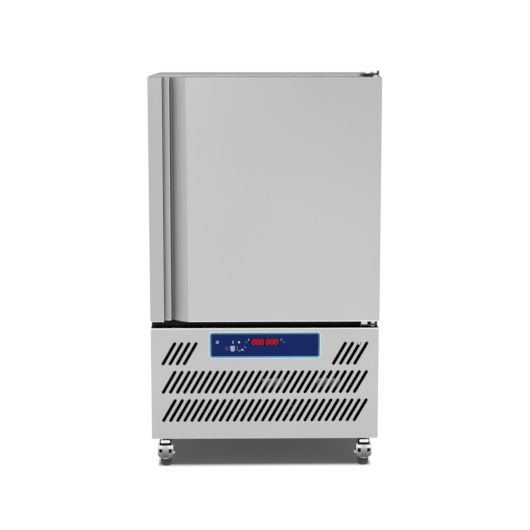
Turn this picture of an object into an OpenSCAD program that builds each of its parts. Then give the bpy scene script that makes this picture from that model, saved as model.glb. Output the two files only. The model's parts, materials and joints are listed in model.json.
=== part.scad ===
// Reach-in blast chiller on castors: an insulated chamber behind a full-height door, over a ventilated
// machine compartment. Millimetres, +X to the right, the door faces -Y, +Z up. The origin lies on the floor
// at the middle of the plan.

/* [Cabinet] */
// Overall width of the cabinet and of the door
cabinet_w = 810; // [760:1:980]
// Overall depth, from the door's front to the rear panel
overall_d = 810; // [740:1:980]
// Height of the cabinet's top above the floor
cabinet_h = 1412; // [1330:1:1700]
// Thickness of the insulated walls
wall = 60; // [50:1:75]
// Thickness of the sheet metal
sheet = 1.2; // [0.8:0.1:2]
// Thickness of the frame round the chamber's mouth
frame_t = 3; // [2:0.5:6]

/* [Door] */
// Height of the door leaf
door_h = 862; // [780:1:1040]
// Thickness of the door leaf
door_t = 60; // [55:1:75]
// Gap between the door leaf and the cabinet, filled by the gasket
gasket_gap = 15; // [12:1:20]
// Width of the gasket's foot
gasket_w = 22; // [16:1:26]
// Gap between the door and the lower panel
door_gap = 26; // [22:1:40]
// Width of the flat strip at the handle's outer edge
grip_strip_w = 49; // [40:1:60]
// Width of the lip that the fingers hook behind
grip_lip_w = 24; // [18:1:28]
// Depth of the lip behind the door's front
grip_lip_depth = 30; // [24:1:32]
// Thickness of the hemmed lip
grip_hem = 4; // [3:0.5:6]
// Radius of the rounded flank beside the groove, and the groove's depth
grip_round = 48; // [44:1:50]
// Distance from the door's left edge to where its front is flat
grip_w = 134; // [126:1:150]

/* [Hinge] */
// Distance from the door's right edge to the pivot
pivot_inset = 22; // [20:1:30]
// Distance from the door's front to the pivot
pivot_depth = 30; // [26:1:34]
// Radius of the hinge pins
pin_r = 6; // [4:0.5:7]
// Running clearance round the hinge pins, castor pins and shafts
running = 0.05; // [0.02:0.01:0.1]
// Depth of the bush in the door
bush_len = 25; // [18:1:40]
// Radius of the bush
bush_r = 10; // [9:0.5:12]
// Thickness of the hinge brackets
bracket_t = 5; // [4:0.5:8]

/* [Lower panel] */
// Height of the panel's lower edge above the floor
panel_bottom = 121; // [112:1:126]
// Distance of the panel's front behind the door's front
panel_setback = 15; // [8:1:25]
// Width of the ventilation slots
slot_w = 10; // [6:0.5:12]
// Height that one slot covers
slot_rise = 83.7; // [60:0.1:90]
// Lean of the slots from the vertical, in degrees
slot_lean = 30; // [0:1:35]
// Distance between slots
slot_pitch = 25.3; // [22:0.1:27]
// Number of slots in a full row
slot_count = 28; // [20:2:28]
// Number of slots on each side in the top row
slot_side_count = 4; // [2:1:4]
// Distance between the rows
slot_row_pitch = 103.6; // [95:0.1:110]
// Distance from the panel's top edge to the top row
slot_top_margin = 50.4; // [40:0.1:60]

/* [Control fascia] */
// Width of the fascia
fascia_w = 398; // [360:1:420]
// Height of the fascia
fascia_h = 97; // [90:1:104]
// Thickness of the fascia
fascia_t = 3.5; // [3:0.1:6]
// Corner radius of the fascia
fascia_r = 8; // [4:1:12]
// Width of the bevelled rim
fascia_rim = 7.5; // [5:0.5:10]
// Distance from the panel's top edge to the fascia
fascia_drop = 13; // [10:1:20]
// Radius of the keys
key_r = 8; // [6:0.5:9]
// Travel of the keys
key_travel = 0.5; // [0.3:0.1:1]
// Width of the display window
window_w = 104; // [90:1:120]
// Height of the display window
window_h = 27; // [22:1:32]

/* [Tray racks] */
// Number of tray levels
rack_levels = 8; // [5:1:8]
// Distance between the levels
rack_pitch = 82; // [70:1:84]
// Clear width between the runners' legs
rack_clear = 617; // [610:1:620]
// Width of a runner's flange
runner_flange = 20; // [16:1:26]
// Length of the runners
runner_len = 420; // [380:1:430]

/* [Air side] */
// Depth of the evaporator's space behind the fan panel
evaporator_depth = 215; // [200:1:240]
// Radius of the evaporator fans
fan_r = 125; // [100:1:135]
// Distance between the two fans
fan_spacing = 320; // [290:1:340]
// Radius of the condenser fan
condenser_fan_r = 140; // [110:1:150]

/* [Castors] */
// Diameter of the wheels
wheel_d = 100; // [90:1:104]
// Width of the tyres
tyre_w = 34; // [26:1:36]
// Height of the castors, floor to top plate
castor_h = 128; // [124:1:136]
// Distance of the castors from the middle, to the side
castor_x = 358; // [320:1:358]
// Distance of the swivel axes from the middle, to the front and back
castor_y = 275; // [240:1:290]
// Trail: how far the wheel's axle lies from the swivel axis
trail = 35; // [28:1:36]

/* [Hidden] */

$fn = 48;
steel = [0.76, 0.76, 0.77];
dark = [0.12, 0.12, 0.13];
zinc = [0.82, 0.83, 0.85];
copper = [0.72, 0.42, 0.27];
blue = [0.08, 0.17, 0.4];

// main planes
x_out = cabinet_w / 2;
x_in = x_out - wall;
y_front = -overall_d / 2;
y_back = overall_d / 2;
y_leaf_back = y_front + door_t;
y_face = y_leaf_back + gasket_gap;
y_panel = y_front + panel_setback;
z_top = cabinet_h;
z_door = z_top - door_h;
z_panel_top = z_door - door_gap;
seat = 0.3; // small clearance between pieces that lie next to each other

// insulated chamber
box_overhang = 2; // the chamber's underside lies this far below the door's lower edge
z_box = z_door - box_overhang;
z_cav_low = z_box + wall;
z_cav_high = z_top - wall;
y_cav_back = y_back - wall;
frame_low = z_panel_top + 6;

// hinge
pivot_x = x_out - pivot_inset;
pivot_y = y_front + pivot_depth;
bracket_x0 = pivot_x - 46;
bracket_x1 = pivot_x + 13;
bracket_lift = 3; // gap between the door's top and the upper bracket
pin_head_h = 7;
pin_head_r = 8.5;
bracket_reach = pivot_y - 14;
bracket_tail = 60; // length of the upper bracket's foot on the cabinet's top
lower_bracket_z = z_panel_top + 8;
ear_h = 10;
stop_near = 20; // the door's stop block lies this far to the left of the pivot
stop_far = 42;
stop_inset = 5;
stop_h = 11.5;

// base
pan_t = 2;
z_pan = castor_h;
pan_top = z_pan + pan_t;
pan_flange = 30;
grille_setback = 25; // the rear grille lies this far in front of the rear panel
y_grille = y_back - grille_setback;

// control fascia
fascia_z = z_panel_top - fascia_drop - fascia_h / 2;
window_x = -1;
window_z = fascia_z + 13;
key_spots = [[-169, 11.5], [-117, 11.5], [-92, 11.5], [-81, -15]];
key_flange_t = 1.5;
board_gap = 6;
board_t = 1.6;
fascia_cut_x = 188;
fascia_cut_z = fascia_h / 2 - 8;

// chamber fittings
y_fan_panel = y_cav_back - evaporator_depth;
fan_panel_half = x_in - 45;
fan_panel_low = z_cav_low + 32;
fan_mid = (fan_panel_low + z_cav_high) / 2 + 6;
fan_ring = 6; // gap between the fan blades and the opening
fan_z = [fan_mid + fan_spacing / 2, fan_mid - fan_spacing / 2];
motor_r = 38;
motor_len = 46;
motor_gap = 40; // from the fan panel to the motor bracket
shaft_r = 5;
rack_first = z_cav_low + 52;
rack_y0 = y_face + 18;
upright = 12;
upright_spots = [rack_y0 + 40, rack_y0 + runner_len - 52];
stud_r = 4;
stud_z = [rack_first + 26, rack_first + (rack_levels - 1) * rack_pitch + 26];
coil_half = fan_panel_half - 40;
coil_y0 = y_fan_panel + 98;
coil_depth = 88;
coil_low = z_cav_low + 72;
coil_high = z_cav_high - 60;
drip_low = z_cav_low + 34;
drain_x = 60;
drain_y = y_cav_back - 100;
drain_r = 11;
drain_bore = 9;
line_x = coil_half + 42;
line_y = y_cav_back - 42;
suction_r = 8;
liquid_r = 5;
liquid_y = line_y - 40;
bend_first = 40; // height of the evaporator's lowest return bend above the coil's underside
bend_pitch = 55;
valve_z = coil_low + bend_first + bend_pitch / 2 - 20;

// machine compartment
comp_x = -200;
comp_y = 130;
comp_r = 100;
comp_h = 230;
mount_h = 20;
comp_z = pan_top + mount_h;
foot_t = 4;
foot_x = 95;
foot_y = 80;
cond_x0 = -70;
cond_x1 = 350;
cond_y0 = y_face + 10;
cond_depth = 60;
cond_low = pan_top;
cond_h = 330;
cond_fan_x = (cond_x0 + cond_x1) / 2;
cond_fan_z = cond_low + cond_h / 2 + 5;
shroud_depth = 22;
shroud_y = cond_y0 + cond_depth;
cond_motor_gap = 46;
receiver_x = 40;
receiver_y = 40;
receiver_r = 50;
receiver_h = 200;
drier_x = 150;
drier_y = 40;
drier_r = 24;
drier_z = pan_top + 110;
tray_z = pan_top;
gland_x = 300;
gland_z = z_pan + 90;
gland_bore = 6.5;
elec_x0 = 210;
elec_w = 170;
elec_y0 = y_grille - 180;
elec_d = 150;
elec_h = 230;

// castors
axle_z = wheel_d / 2;
axle_r = 5;
fork_half = 20.5; // half the gap between the fork's legs
leg_t = 3;
crown_low = axle_z + wheel_d / 2 + 3;
crown_plate = 3;
crown_top = castor_h - 9.3;
crown_r = 34;
plate_t = 3;
kingpin_r = 6;
pedal_y = -trail - wheel_d / 2 + 7;
pedal_z = axle_z + 38;
pedal_pin_r = 3;
shield_y = -trail - wheel_d / 2 - 8;
shield_half = 29;

function arc_points(cx, cy, r, a0, a1, n) =
    [for (i = [0 : n]) [cx + r * cos(a0 + (a1 - a0) * i / n), cy + r * sin(a0 + (a1 - a0) * i / n)]];

function rounded_rect(w, h, r, n = 6) = concat(
    arc_points(w / 2 - r, h / 2 - r, r, 0, 90, n), arc_points(-w / 2 + r, h / 2 - r, r, 90, 180, n),
    arc_points(-w / 2 + r, -h / 2 + r, r, 180, 270, n), arc_points(w / 2 - r, -h / 2 + r, r, 270, 360, n));

function stadium(length, w, n = 6) = concat(
    arc_points(0, (length - w) / 2, w / 2, 0, 180, n), arc_points(0, -(length - w) / 2, w / 2, 180, 360, n));

function reversed(p) = [for (i = [len(p) - 1 : -1 : 0]) p[i]];

// unit normal on the left of the way from a to b
function left_normal(a, b) = let (d = b - a, l = norm(d)) [-d[1] / l, d[0] / l];

// corner i of a path moved sideways by t, so that bent sheet keeps its thickness
function mitre(p, i, t) =
    i == 0 ? p[0] + t * left_normal(p[0], p[1]) :
    i == len(p) - 1 ? p[i] + t * left_normal(p[i - 1], p[i]) :
    let (n0 = left_normal(p[i - 1], p[i]), n1 = left_normal(p[i], p[i + 1]))
    p[i] + t * (n0 + n1) / (1 + n0 * n1);

function beside(p, t) = [for (i = [0 : len(p) - 1]) mitre(p, i, t)];

module bent_sheet(path, t) {
    polygon(concat(path, reversed(beside(path, t))));
}

module block(x0, x1, y0, y1, z0, z1) {
    translate([x0, y0, z0]) cube([x1 - x0, y1 - y0, z1 - z0]);
}

module rod_x(y, z, x0, x1, r) {
    translate([x0, y, z]) rotate([0, 90, 0]) cylinder(h = x1 - x0, r = r);
}

module rod_y(x, z, y0, y1, r) {
    translate([x, y0, z]) rotate([-90, 0, 0]) cylinder(h = y1 - y0, r = r);
}

module rod_z(x, y, z0, z1, r) {
    translate([x, y, z0]) cylinder(h = z1 - z0, r = r);
}

// extrudes an outline drawn in X and Z, from y0 to y1
module slab_y(y0, y1) {
    translate([0, y1, 0]) rotate([90, 0, 0]) linear_extrude(y1 - y0) children();
}

// extrudes an outline drawn in Y and Z, from x0 to x1
module slab_x(x0, x1) {
    translate([x0, 0, 0]) rotate([90, 0, 90]) linear_extrude(x1 - x0) children();
}

module rod(a, b, r) {
    v = b - a;
    translate(a) rotate([0, acos(v[2] / norm(v)), atan2(v[1], v[0])]) cylinder(h = norm(v), r = r);
}

// quarter bend of tube at corner p, from direction d1 into direction d2
module elbow(p, d1, d2, bend, r) {
    c = p - bend * d1 + bend * d2;
    n = cross(d1, d2);
    multmatrix([[-d2[0], d1[0], n[0], c[0]], [-d2[1], d1[1], n[1], c[1]], [-d2[2], d1[2], n[2], c[2]]])
        rotate_extrude(angle = 90) translate([bend, 0]) circle(r = r);
}

function unit(v) = v / norm(v);

// bent tube along square corners
module pipe(points, r) {
    bend = 2.4 * r;
    last = len(points) - 1;
    dir = [for (i = [0 : last - 1]) unit(points[i + 1] - points[i])];
    for (i = [0 : last - 1])
        rod(points[i] + (i > 0 ? bend : 0) * dir[i], points[i + 1] - (i < last - 1 ? bend : 0) * dir[i], r);
    for (i = [1 : last - 1]) elbow(points[i], dir[i - 1], dir[i], bend, r);
}

module hex_head(r, h) {
    cylinder(h = h, r = r, $fn = 6);
}

// ---- cabinet -------------------------------------------------------------------------------------------

module outer_casing() {
    color(steel) difference() {
        block(-x_out, x_out, y_face, y_back - sheet, panel_bottom, z_top);
        block(-x_out + sheet, x_out - sheet, y_face - 1, y_back, z_box + sheet, z_top - sheet);
        block(-x_out + sheet, x_out - sheet, y_face - 1, y_back, panel_bottom - 1, z_box);
        block(-x_out + sheet, x_out - sheet, y_face - 1, y_face + frame_t, z_box - 1, z_box + sheet + 1);
        chamber_pipe_holes();
    }
}

// its lower edge is folded forward, over the rear grille
module rear_panel() {
    color(steel) union() {
        block(-x_out, x_out, y_back - sheet, y_back, z_box - sheet, z_top);
        block(-x_out + sheet, x_out - sheet, y_grille, y_back - sheet, z_box - sheet, z_box);
    }
}

module rear_grille() {
    slot_len = 300;
    grille_slot_w = 9;
    slot_x = 175;
    slots = 11;
    first = 60;
    pitch = 26;
    color(steel) difference() {
        block(-x_out + sheet, x_out - sheet, y_grille - sheet, y_grille, pan_top, z_box - sheet);
        for (side = [-1, 1], i = [0 : slots - 1])
            slab_y(y_grille - 5, y_grille + 5)
                translate([side * slot_x, z_box - first - i * pitch])
                    rotate(90) polygon(stadium(slot_len, grille_slot_w));
        rod_y(gland_x, gland_z, y_grille - 5, y_grille + 5, gland_bore + 4.5);
    }
}

// the drain and the two refrigerant lines pass through the chamber's floor
module chamber_pipe_holes() {
    rod_z(drain_x, drain_y, z_box - 5, z_cav_low + 5, drain_r + seat);
    rod_z(line_x, line_y, z_box - 5, z_cav_low + 5, suction_r + seat);
    rod_z(line_x, liquid_y, z_box - 5, z_cav_low + 5, liquid_r + seat);
}

module insulation() {
    color("khaki") difference() {
        block(-x_out + sheet, x_out - sheet, y_face + frame_t, y_back - sheet, z_box + sheet, z_top - sheet);
        block(-x_in - sheet, x_in + sheet, y_face, y_cav_back + sheet, z_cav_low - sheet, z_cav_high + sheet);
        chamber_pipe_holes();
    }
}

module cavity_liner() {
    color(steel) difference() {
        union() {
            difference() {
                block(-x_in - sheet, x_in + sheet, y_face + frame_t, y_cav_back + sheet,
                    z_cav_low - sheet, z_cav_high + sheet);
                block(-x_in, x_in, y_face, y_cav_back, z_cav_low, z_cav_high);
            }
            for (side = [-1, 1], y = upright_spots, z = stud_z) rack_stud(side, y, z);
        }
        chamber_pipe_holes();
    }
}

module rack_stud(side, y, z) {
    stud_end = rack_clear / 2 + sheet + seat;
    if (side > 0) rod_x(y, z, stud_end, x_in + sheet / 2, stud_r);
    else rod_x(y, z, -x_in - sheet / 2, -stud_end, stud_r);
}

module front_frame() {
    color(steel) difference() {
        block(-x_out + sheet, x_out - sheet, y_face, y_face + frame_t, frame_low, z_top - sheet);
        block(-x_in, x_in, y_face - 1, y_face + frame_t + 1, z_cav_low, z_cav_high);
    }
}

module base_pan() {
    color(zinc) difference() {
        block(-x_out + sheet, x_out - sheet, y_panel + sheet, y_grille - sheet, z_pan, z_pan + pan_flange);
        block(-x_out + sheet + pan_t, x_out - sheet - pan_t,
            y_panel + sheet + pan_t, y_grille - sheet - pan_t, pan_top, z_pan + pan_flange + 1);
    }
}

module ledge_trim() {
    trim_t = 5;
    color(dark) union() {
        block(-x_out + sheet, x_out - sheet, y_panel + sheet, y_face, z_panel_top - trim_t, z_panel_top);
        block(-x_out + sheet, x_out - sheet, y_face - 4, y_face, z_panel_top, frame_low);
        block(-x_out + sheet, x_out - sheet, y_face - 4, y_face, z_panel_top - 30, z_panel_top - trim_t);
    }
}

module slot_shape() {
    straight = (slot_rise - slot_w) / cos(slot_lean);
    rotate(-slot_lean) polygon(stadium(straight + slot_w, slot_w));
}

module louvre_slots() {
    top_row = z_panel_top - slot_top_margin - slot_rise / 2;
    for (row = [0 : 2], i = [0 : slot_count - 1])
        if (row > 0 || i < slot_side_count || i >= slot_count - slot_side_count)
            translate([(i - (slot_count - 1) / 2) * slot_pitch, top_row - row * slot_row_pitch]) slot_shape();
}

module front_panel() {
    lip = 20;
    color(steel) union() {
        slab_y(y_panel, y_panel + sheet) difference() {
            translate([-x_out, panel_bottom]) square([2 * x_out, z_panel_top - panel_bottom]);
            louvre_slots();
            translate([-fascia_cut_x, fascia_z - fascia_cut_z]) square([2 * fascia_cut_x, 2 * fascia_cut_z]);
        }
        block(-x_out, -x_out + sheet, y_panel, y_face, panel_bottom, z_panel_top);
        block(x_out - sheet, x_out, y_panel, y_face, panel_bottom, z_panel_top);
        block(-x_out, x_out, y_panel, y_panel + lip, panel_bottom, panel_bottom + sheet);
    }
}

module panel_screws() {
    head_h = 2;
    color(zinc) union() {
        for (x = [-x_out + 30, -x_out / 3, x_out / 3, x_out - 30], z = [z_pan + pan_flange + 20, z_box - 18])
            rod_y(x, z, y_grille, y_grille + head_h, 5);
        // hinge bolts on the cabinet's top and in the lower bracket's flange
        for (x = [bracket_x0 + 12, pivot_x - 6])
            translate([x, y_face + 22, z_top + bracket_lift + bracket_t]) hex_head(6, 6);
        for (x = [bracket_x0 + 8, bracket_x1 - 8])
            rod_y(x, lower_bracket_z + 28, y_face - 6.2, y_face - 5, 4);
    }
}

// ---- control fascia ------------------------------------------------------------------------------------

module control_fascia() {
    color(blue) difference() {
        slab_y(y_panel - fascia_t, y_panel) translate([0, fascia_z])
            polygon(rounded_rect(fascia_w, fascia_h, fascia_r));
        slab_y(y_panel - fascia_t - 1, y_panel - fascia_t + 0.8) translate([0, fascia_z])
            polygon(rounded_rect(fascia_w - 2 * fascia_rim, fascia_h - 2 * fascia_rim, fascia_r / 2));
        for (spot = key_spots) rod_y(spot[0], fascia_z + spot[1], y_panel - 10, y_panel + 1, key_r + seat);
        block(window_x - window_w / 2, window_x + window_w / 2, y_panel - 10, y_panel + 1,
            window_z - window_h / 2, window_z + window_h / 2);
    }
}

module display_lens() {
    edge = 3;
    color("darkred") union() {
        block(window_x - window_w / 2 + 0.1, window_x + window_w / 2 - 0.1, y_panel - fascia_t + 0.8, y_panel,
            window_z - window_h / 2 + 0.1, window_z + window_h / 2 - 0.1);
        block(window_x - window_w / 2 - edge, window_x + window_w / 2 + edge, y_panel, y_panel + 1,
            window_z - window_h / 2 - edge, window_z + window_h / 2 + edge);
    }
}

module control_board() {
    y_board = y_panel + board_gap;
    y_switch = y_panel + seat + key_flange_t + key_travel + 0.2;
    color("seagreen") difference() {
        union() {
            block(-fascia_cut_x + 2, fascia_cut_x - 2, y_board, y_board + board_t,
                fascia_z - fascia_cut_z + 2, fascia_z + fascia_cut_z - 2);
            // display modules behind the window
            for (side = [-1, 1])
                block(window_x + side * 25.5 - 23, window_x + side * 25.5 + 23, y_panel + 1 + seat, y_board,
                    window_z - 10, window_z + 10);
            // switches behind the keys
            for (spot = key_spots)
                rod_y(spot[0], fascia_z + spot[1], y_switch, y_board, 3);
            // spacers that clip to the fascia's back
            for (sx = [-1, 1], sz = [-1, 1])
                rod_y(sx * (fascia_cut_x - 8), fascia_z + sz * (fascia_cut_z - 8), y_panel, y_board, 4);
            // relay housing
            block(-60, 120, y_board + board_t, y_board + 34, fascia_z - 30, fascia_z + 28);
        }
        // plug opening in the relay housing
        block(98, 112, y_board + 14, y_board + 40, fascia_z - 10, fascia_z + 10);
    }
}

module key(i) {
    spot = key_spots[i];
    color("white") union() {
        rod_y(spot[0], fascia_z + spot[1], y_panel - fascia_t + 0.6, y_panel + seat + 0.5, key_r);
        rod_y(spot[0], fascia_z + spot[1], y_panel + seat, y_panel + seat + key_flange_t, key_r + 1.5);
    }
}

module key_power() { key(0); }
module key_select() { key(1); }
module key_mode() { key(2); }
module key_start() { key(3); }

// ---- electrics and machine compartment -----------------------------------------------------------------

module electrics_box() {
    color("gray") union() {
        block(elec_x0, elec_x0 + elec_w, elec_y0, elec_y0 + elec_d, pan_top, pan_top + elec_h);
        block(elec_x0 - 3, elec_x0 + elec_w + 3, elec_y0 - 3, elec_y0 + elec_d + 3,
            pan_top + elec_h, pan_top + elec_h + 4);
    }
}

module mains_gland() {
    wall_r = gland_bore + 4.5;
    color(dark) difference() {
        union() {
            rod_y(gland_x, gland_z, y_grille - sheet - 8, y_grille + 2, wall_r - 0.2);
            rod_y(gland_x, gland_z, y_grille, y_grille + 20, wall_r + 3.5);
            translate([gland_x, y_grille - sheet, gland_z]) rotate([90, 0, 0]) hex_head(wall_r + 5, 5);
        }
        rod_y(gland_x, gland_z, y_grille - sheet - 20, y_grille + 30, gland_bore);
    }
}

module compressor() {
    dome = 22;
    z0 = comp_z + foot_t;
    color(dark) union() {
        translate([comp_x, comp_y, z0]) rotate_extrude() polygon([[0, 0], [comp_r - dome, 0],
            [comp_r - 6, dome * 0.7], [comp_r, comp_h * 0.45], [comp_r + 4, comp_h * 0.45],
            [comp_r + 4, comp_h * 0.5], [comp_r, comp_h * 0.5], [comp_r - 8, comp_h - dome],
            [comp_r - dome * 2, comp_h], [0, comp_h]]);
        difference() {
            block(comp_x - foot_x - 15, comp_x + foot_x + 15, comp_y - foot_y - 15, comp_y + foot_y + 15,
                comp_z, comp_z + foot_t);
            compressor_feet() cylinder(h = 3 * foot_t, r = 5 + seat, center = true);
        }
        // terminal cover and the stubs of the two lines
        block(comp_x - 34, comp_x + 34, comp_y + comp_r - 15, comp_y + comp_r + 32, z0 + 70, z0 + 150);
        rod_z(comp_x + 30, comp_y, z0 + comp_h - 10, z0 + comp_h + 14, liquid_r + 2);
        rod_z(comp_x - 30, comp_y, z0 + comp_h - 10, z0 + comp_h + 14, suction_r + 2);
    }
}

module compressor_feet() {
    for (sx = [-1, 1], sy = [-1, 1])
        translate([comp_x + sx * foot_x, comp_y + sy * foot_y, comp_z]) children();
}

module compressor_mounts() {
    color(dark) compressor_feet() union() {
        translate([0, 0, -mount_h]) cylinder(h = mount_h, r = 13);
        cylinder(h = foot_t + 1, r = 5);
        translate([0, 0, foot_t]) cylinder(h = 6, r = 11);
    }
}

module condenser_coil() {
    plate = 2;
    bends = 6;
    color(steel) union() {
        block(cond_x0 + plate, cond_x1 - plate, cond_y0, cond_y0 + cond_depth,
            cond_low + 8, cond_low + cond_h - 4);
        for (x = [cond_x0, cond_x1 - plate])
            block(x, x + plate, cond_y0, cond_y0 + cond_depth, cond_low, cond_low + cond_h);
        for (i = [0 : bends - 1])
            translate([cond_x1, cond_y0 + 20, cond_low + 40 + i * 50]) return_bend(12, 4);
        // inlet and outlet on the left end plate
        rod_x(cond_y0 + 40, cond_low + cond_h - 30, cond_x0 - 20, cond_x0 + 1, liquid_r + 2);
        rod_x(cond_y0 + 40, cond_low + 40, cond_x0 - 20, cond_x0 + 1, liquid_r + 2);
    }
}

// half a ring of tube that joins two rows of a coil, standing out along +X
module return_bend(radius, r) {
    rotate([90, 0, 0]) rotate([0, 0, -90]) rotate_extrude(angle = 180) translate([radius, 0]) circle(r = r);
}

module condenser_shroud() {
    color(dark) union() {
        slab_y(shroud_y, shroud_y + 2) difference() {
            translate([cond_x0, cond_low]) square([cond_x1 - cond_x0, cond_h]);
            translate([cond_fan_x, cond_fan_z]) circle(r = condenser_fan_r + fan_ring);
        }
        difference() {
            rod_y(cond_fan_x, cond_fan_z, shroud_y, shroud_y + shroud_depth, condenser_fan_r + fan_ring + 2);
            rod_y(cond_fan_x, cond_fan_z, shroud_y - 1, shroud_y + shroud_depth + 1,
                condenser_fan_r + fan_ring);
        }
    }
}

// motor on a bracket of four arms, in front of which its fan turns; the fan panel's back is at y = 0
module fan_motor(ring_r, gap) {
    arm = 10;
    color(dark) difference() {
        union() {
            rod_y(0, 0, gap, gap + motor_len, motor_r);
            rod_y(0, 0, gap - 6, gap + 1, motor_r / 2);
            for (a = [45, 135, 225, 315]) rotate([0, a, 0]) {
                block(motor_r - 4, ring_r + arm, gap, gap + 3, -arm / 2, arm / 2);
                block(ring_r, ring_r + arm, 0, gap + 3, -arm / 2, arm / 2);
            }
        }
        rod_y(0, 0, gap - 10, gap + motor_len - 10, shaft_r + running);
    }
}

// axial fan on its shaft, blades between y = y0 and y = y1, tips at r
module axial_fan(r, y0, y1, shaft_end, blades = 5) {
    hub = r * 0.28;
    chord = r * 0.62;
    pitch = 28;
    y_mid = (y0 + y1) / 2;
    color("silver") union() {
        rod_y(0, 0, y0, y1, hub);
        rod_y(0, 0, y1 - 1, shaft_end, shaft_r);
        intersection() {
            rod_y(0, 0, y0, y1, r);
            for (i = [0 : blades - 1]) rotate([0, i * 360 / blades, 0])
                translate([0, y_mid, 0]) rotate([pitch, 0, 0])
                    block(hub - 4, r + 4, -1.2, 1.2, -chord / 2, chord / 2);
        }
    }
}

module condenser_motor() {
    translate([cond_fan_x, shroud_y + 2, cond_fan_z])
        fan_motor(condenser_fan_r + fan_ring + 4, cond_motor_gap);
}

module condenser_fan() {
    translate([cond_fan_x, shroud_y + 2, cond_fan_z])
        axial_fan(condenser_fan_r, 2, 34, cond_motor_gap + 20);
}

module receiver() {
    z0 = pan_top;
    color(dark) union() {
        translate([receiver_x, receiver_y, z0]) rotate_extrude() polygon([[0, 12], [receiver_r - 12, 14],
            [receiver_r, 28], [receiver_r, receiver_h - 20], [receiver_r - 12, receiver_h - 4],
            [0, receiver_h]]);
        difference() {
            rod_z(receiver_x, receiver_y, z0, z0 + 24, receiver_r - 6);
            rod_z(receiver_x, receiver_y, z0 - 1, z0 + 10, receiver_r - 10);
        }
        rod_z(receiver_x - 22, receiver_y, z0 + receiver_h - 12, z0 + receiver_h + 12, liquid_r + 2);
        rod_z(receiver_x + 22, receiver_y, z0 + receiver_h - 12, z0 + receiver_h + 12, liquid_r + 2);
    }
}

module filter_drier() {
    body_h = 90;
    color(copper) union() {
        translate([drier_x, drier_y, drier_z]) rotate_extrude() polygon([[0, 0], [liquid_r + 1, 0],
            [drier_r, 14], [drier_r, body_h - 14], [liquid_r + 1, body_h], [0, body_h]]);
        block(drier_x - 8, drier_x + 8, drier_y + drier_r - 2, drier_y + drier_r + 3, pan_top, drier_z + 50);
    }
}

module pipework() {
    comp_top = comp_z + foot_t + comp_h + 14;
    cond_in = cond_low + cond_h - 30;
    cond_out = cond_low + 40;
    cond_y = cond_y0 + 40;
    recv_top = pan_top + receiver_h + 12;
    drier_top = drier_z + 90;
    high = pan_top + receiver_h + 40;
    line_z = z_box - 50;
    coil_port = coil_half + 20;
    suction_z = coil_high - 60;
    color(copper) union() {
        // discharge: compressor to condenser
        pipe([[comp_x + 30, comp_y, comp_top], [comp_x + 30, comp_y, comp_top + 64],
            [comp_x + 30, cond_y, comp_top + 64], [cond_x0 - 50, cond_y, comp_top + 64],
            [cond_x0 - 50, cond_y, cond_in], [cond_x0 - 20, cond_y, cond_in]], liquid_r);
        // condenser to receiver
        pipe([[cond_x0 - 20, cond_y, cond_out], [cond_x0 - 50, cond_y, cond_out],
            [cond_x0 - 50, receiver_y, cond_out], [cond_x0 - 50, receiver_y, high],
            [receiver_x - 22, receiver_y, high], [receiver_x - 22, receiver_y, recv_top]], liquid_r);
        // receiver to filter drier
        pipe([[receiver_x + 22, receiver_y, recv_top], [receiver_x + 22, receiver_y, high],
            [drier_x, receiver_y, high], [drier_x, receiver_y, drier_top]], liquid_r);
        // filter drier to the expansion valve in the chamber
        pipe([[drier_x, drier_y, drier_z], [drier_x, drier_y, pan_top + 60],
            [drier_x - 36, drier_y, pan_top + 60], [drier_x - 36, liquid_y - 60, pan_top + 60],
            [drier_x - 36, liquid_y - 60, line_z], [line_x, liquid_y - 60, line_z],
            [line_x, liquid_y, line_z], [line_x, liquid_y, valve_z]], liquid_r);
        // evaporator back to the compressor
        pipe([[coil_port, line_y, suction_z], [line_x, line_y, suction_z], [line_x, line_y, line_z - 40],
            [comp_x - 30, line_y, line_z - 40], [comp_x - 30, comp_y, line_z - 40],
            [comp_x - 30, comp_y, comp_top]], suction_r);
    }
}

module condensate_tray() {
    color(dark) difference() {
        block(drain_x - 130, drain_x + 110, drain_y - 90, drain_y + 50, tray_z, tray_z + 34);
        block(drain_x - 128, drain_x + 108, drain_y - 88, drain_y + 48, tray_z + 2, tray_z + 40);
    }
}

module drain_pipe() {
    color("white") difference() {
        union() {
            rod_z(drain_x, drain_y, tray_z + 20, z_cav_low + 1, drain_r);
            rod_z(drain_x, drain_y, z_cav_low, z_cav_low + 2, drain_r + 6);
        }
        rod_z(drain_x, drain_y, tray_z, z_cav_low + 10, drain_bore);
    }
}

// ---- chamber -------------------------------------------------------------------------------------------

module evaporator_coil() {
    plate = 2;
    bends = 9;
    color(steel) union() {
        block(-coil_half + plate, coil_half - plate, coil_y0, coil_y0 + coil_depth, coil_low, coil_high);
        for (x = [-coil_half, coil_half - plate])
            block(x, x + plate, coil_y0, coil_y0 + coil_depth, coil_low - 14, z_cav_high);
        for (i = [0 : bends - 1])
            translate([coil_half, coil_y0 + 30, coil_low + bend_first + i * bend_pitch]) return_bend(12, 5);
        rod_x(line_y, coil_high - 60, coil_half - 1, coil_half + 20, suction_r + 2);
    }
}

module fan_panel() {
    flange = 18;
    color(steel) union() {
        slab_y(y_fan_panel - sheet, y_fan_panel) difference() {
            translate([-fan_panel_half, fan_panel_low])
                square([2 * fan_panel_half, z_cav_high - fan_panel_low]);
            for (z = fan_z) translate([0, z]) circle(r = fan_r + fan_ring);
        }
        for (x = [-fan_panel_half, fan_panel_half - sheet])
            block(x, x + sheet, y_fan_panel - sheet, y_fan_panel + flange, fan_panel_low, z_cav_high);
        block(-fan_panel_half, fan_panel_half, y_fan_panel - sheet, y_fan_panel + flange,
            z_cav_high - sheet, z_cav_high);
    }
}

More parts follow.
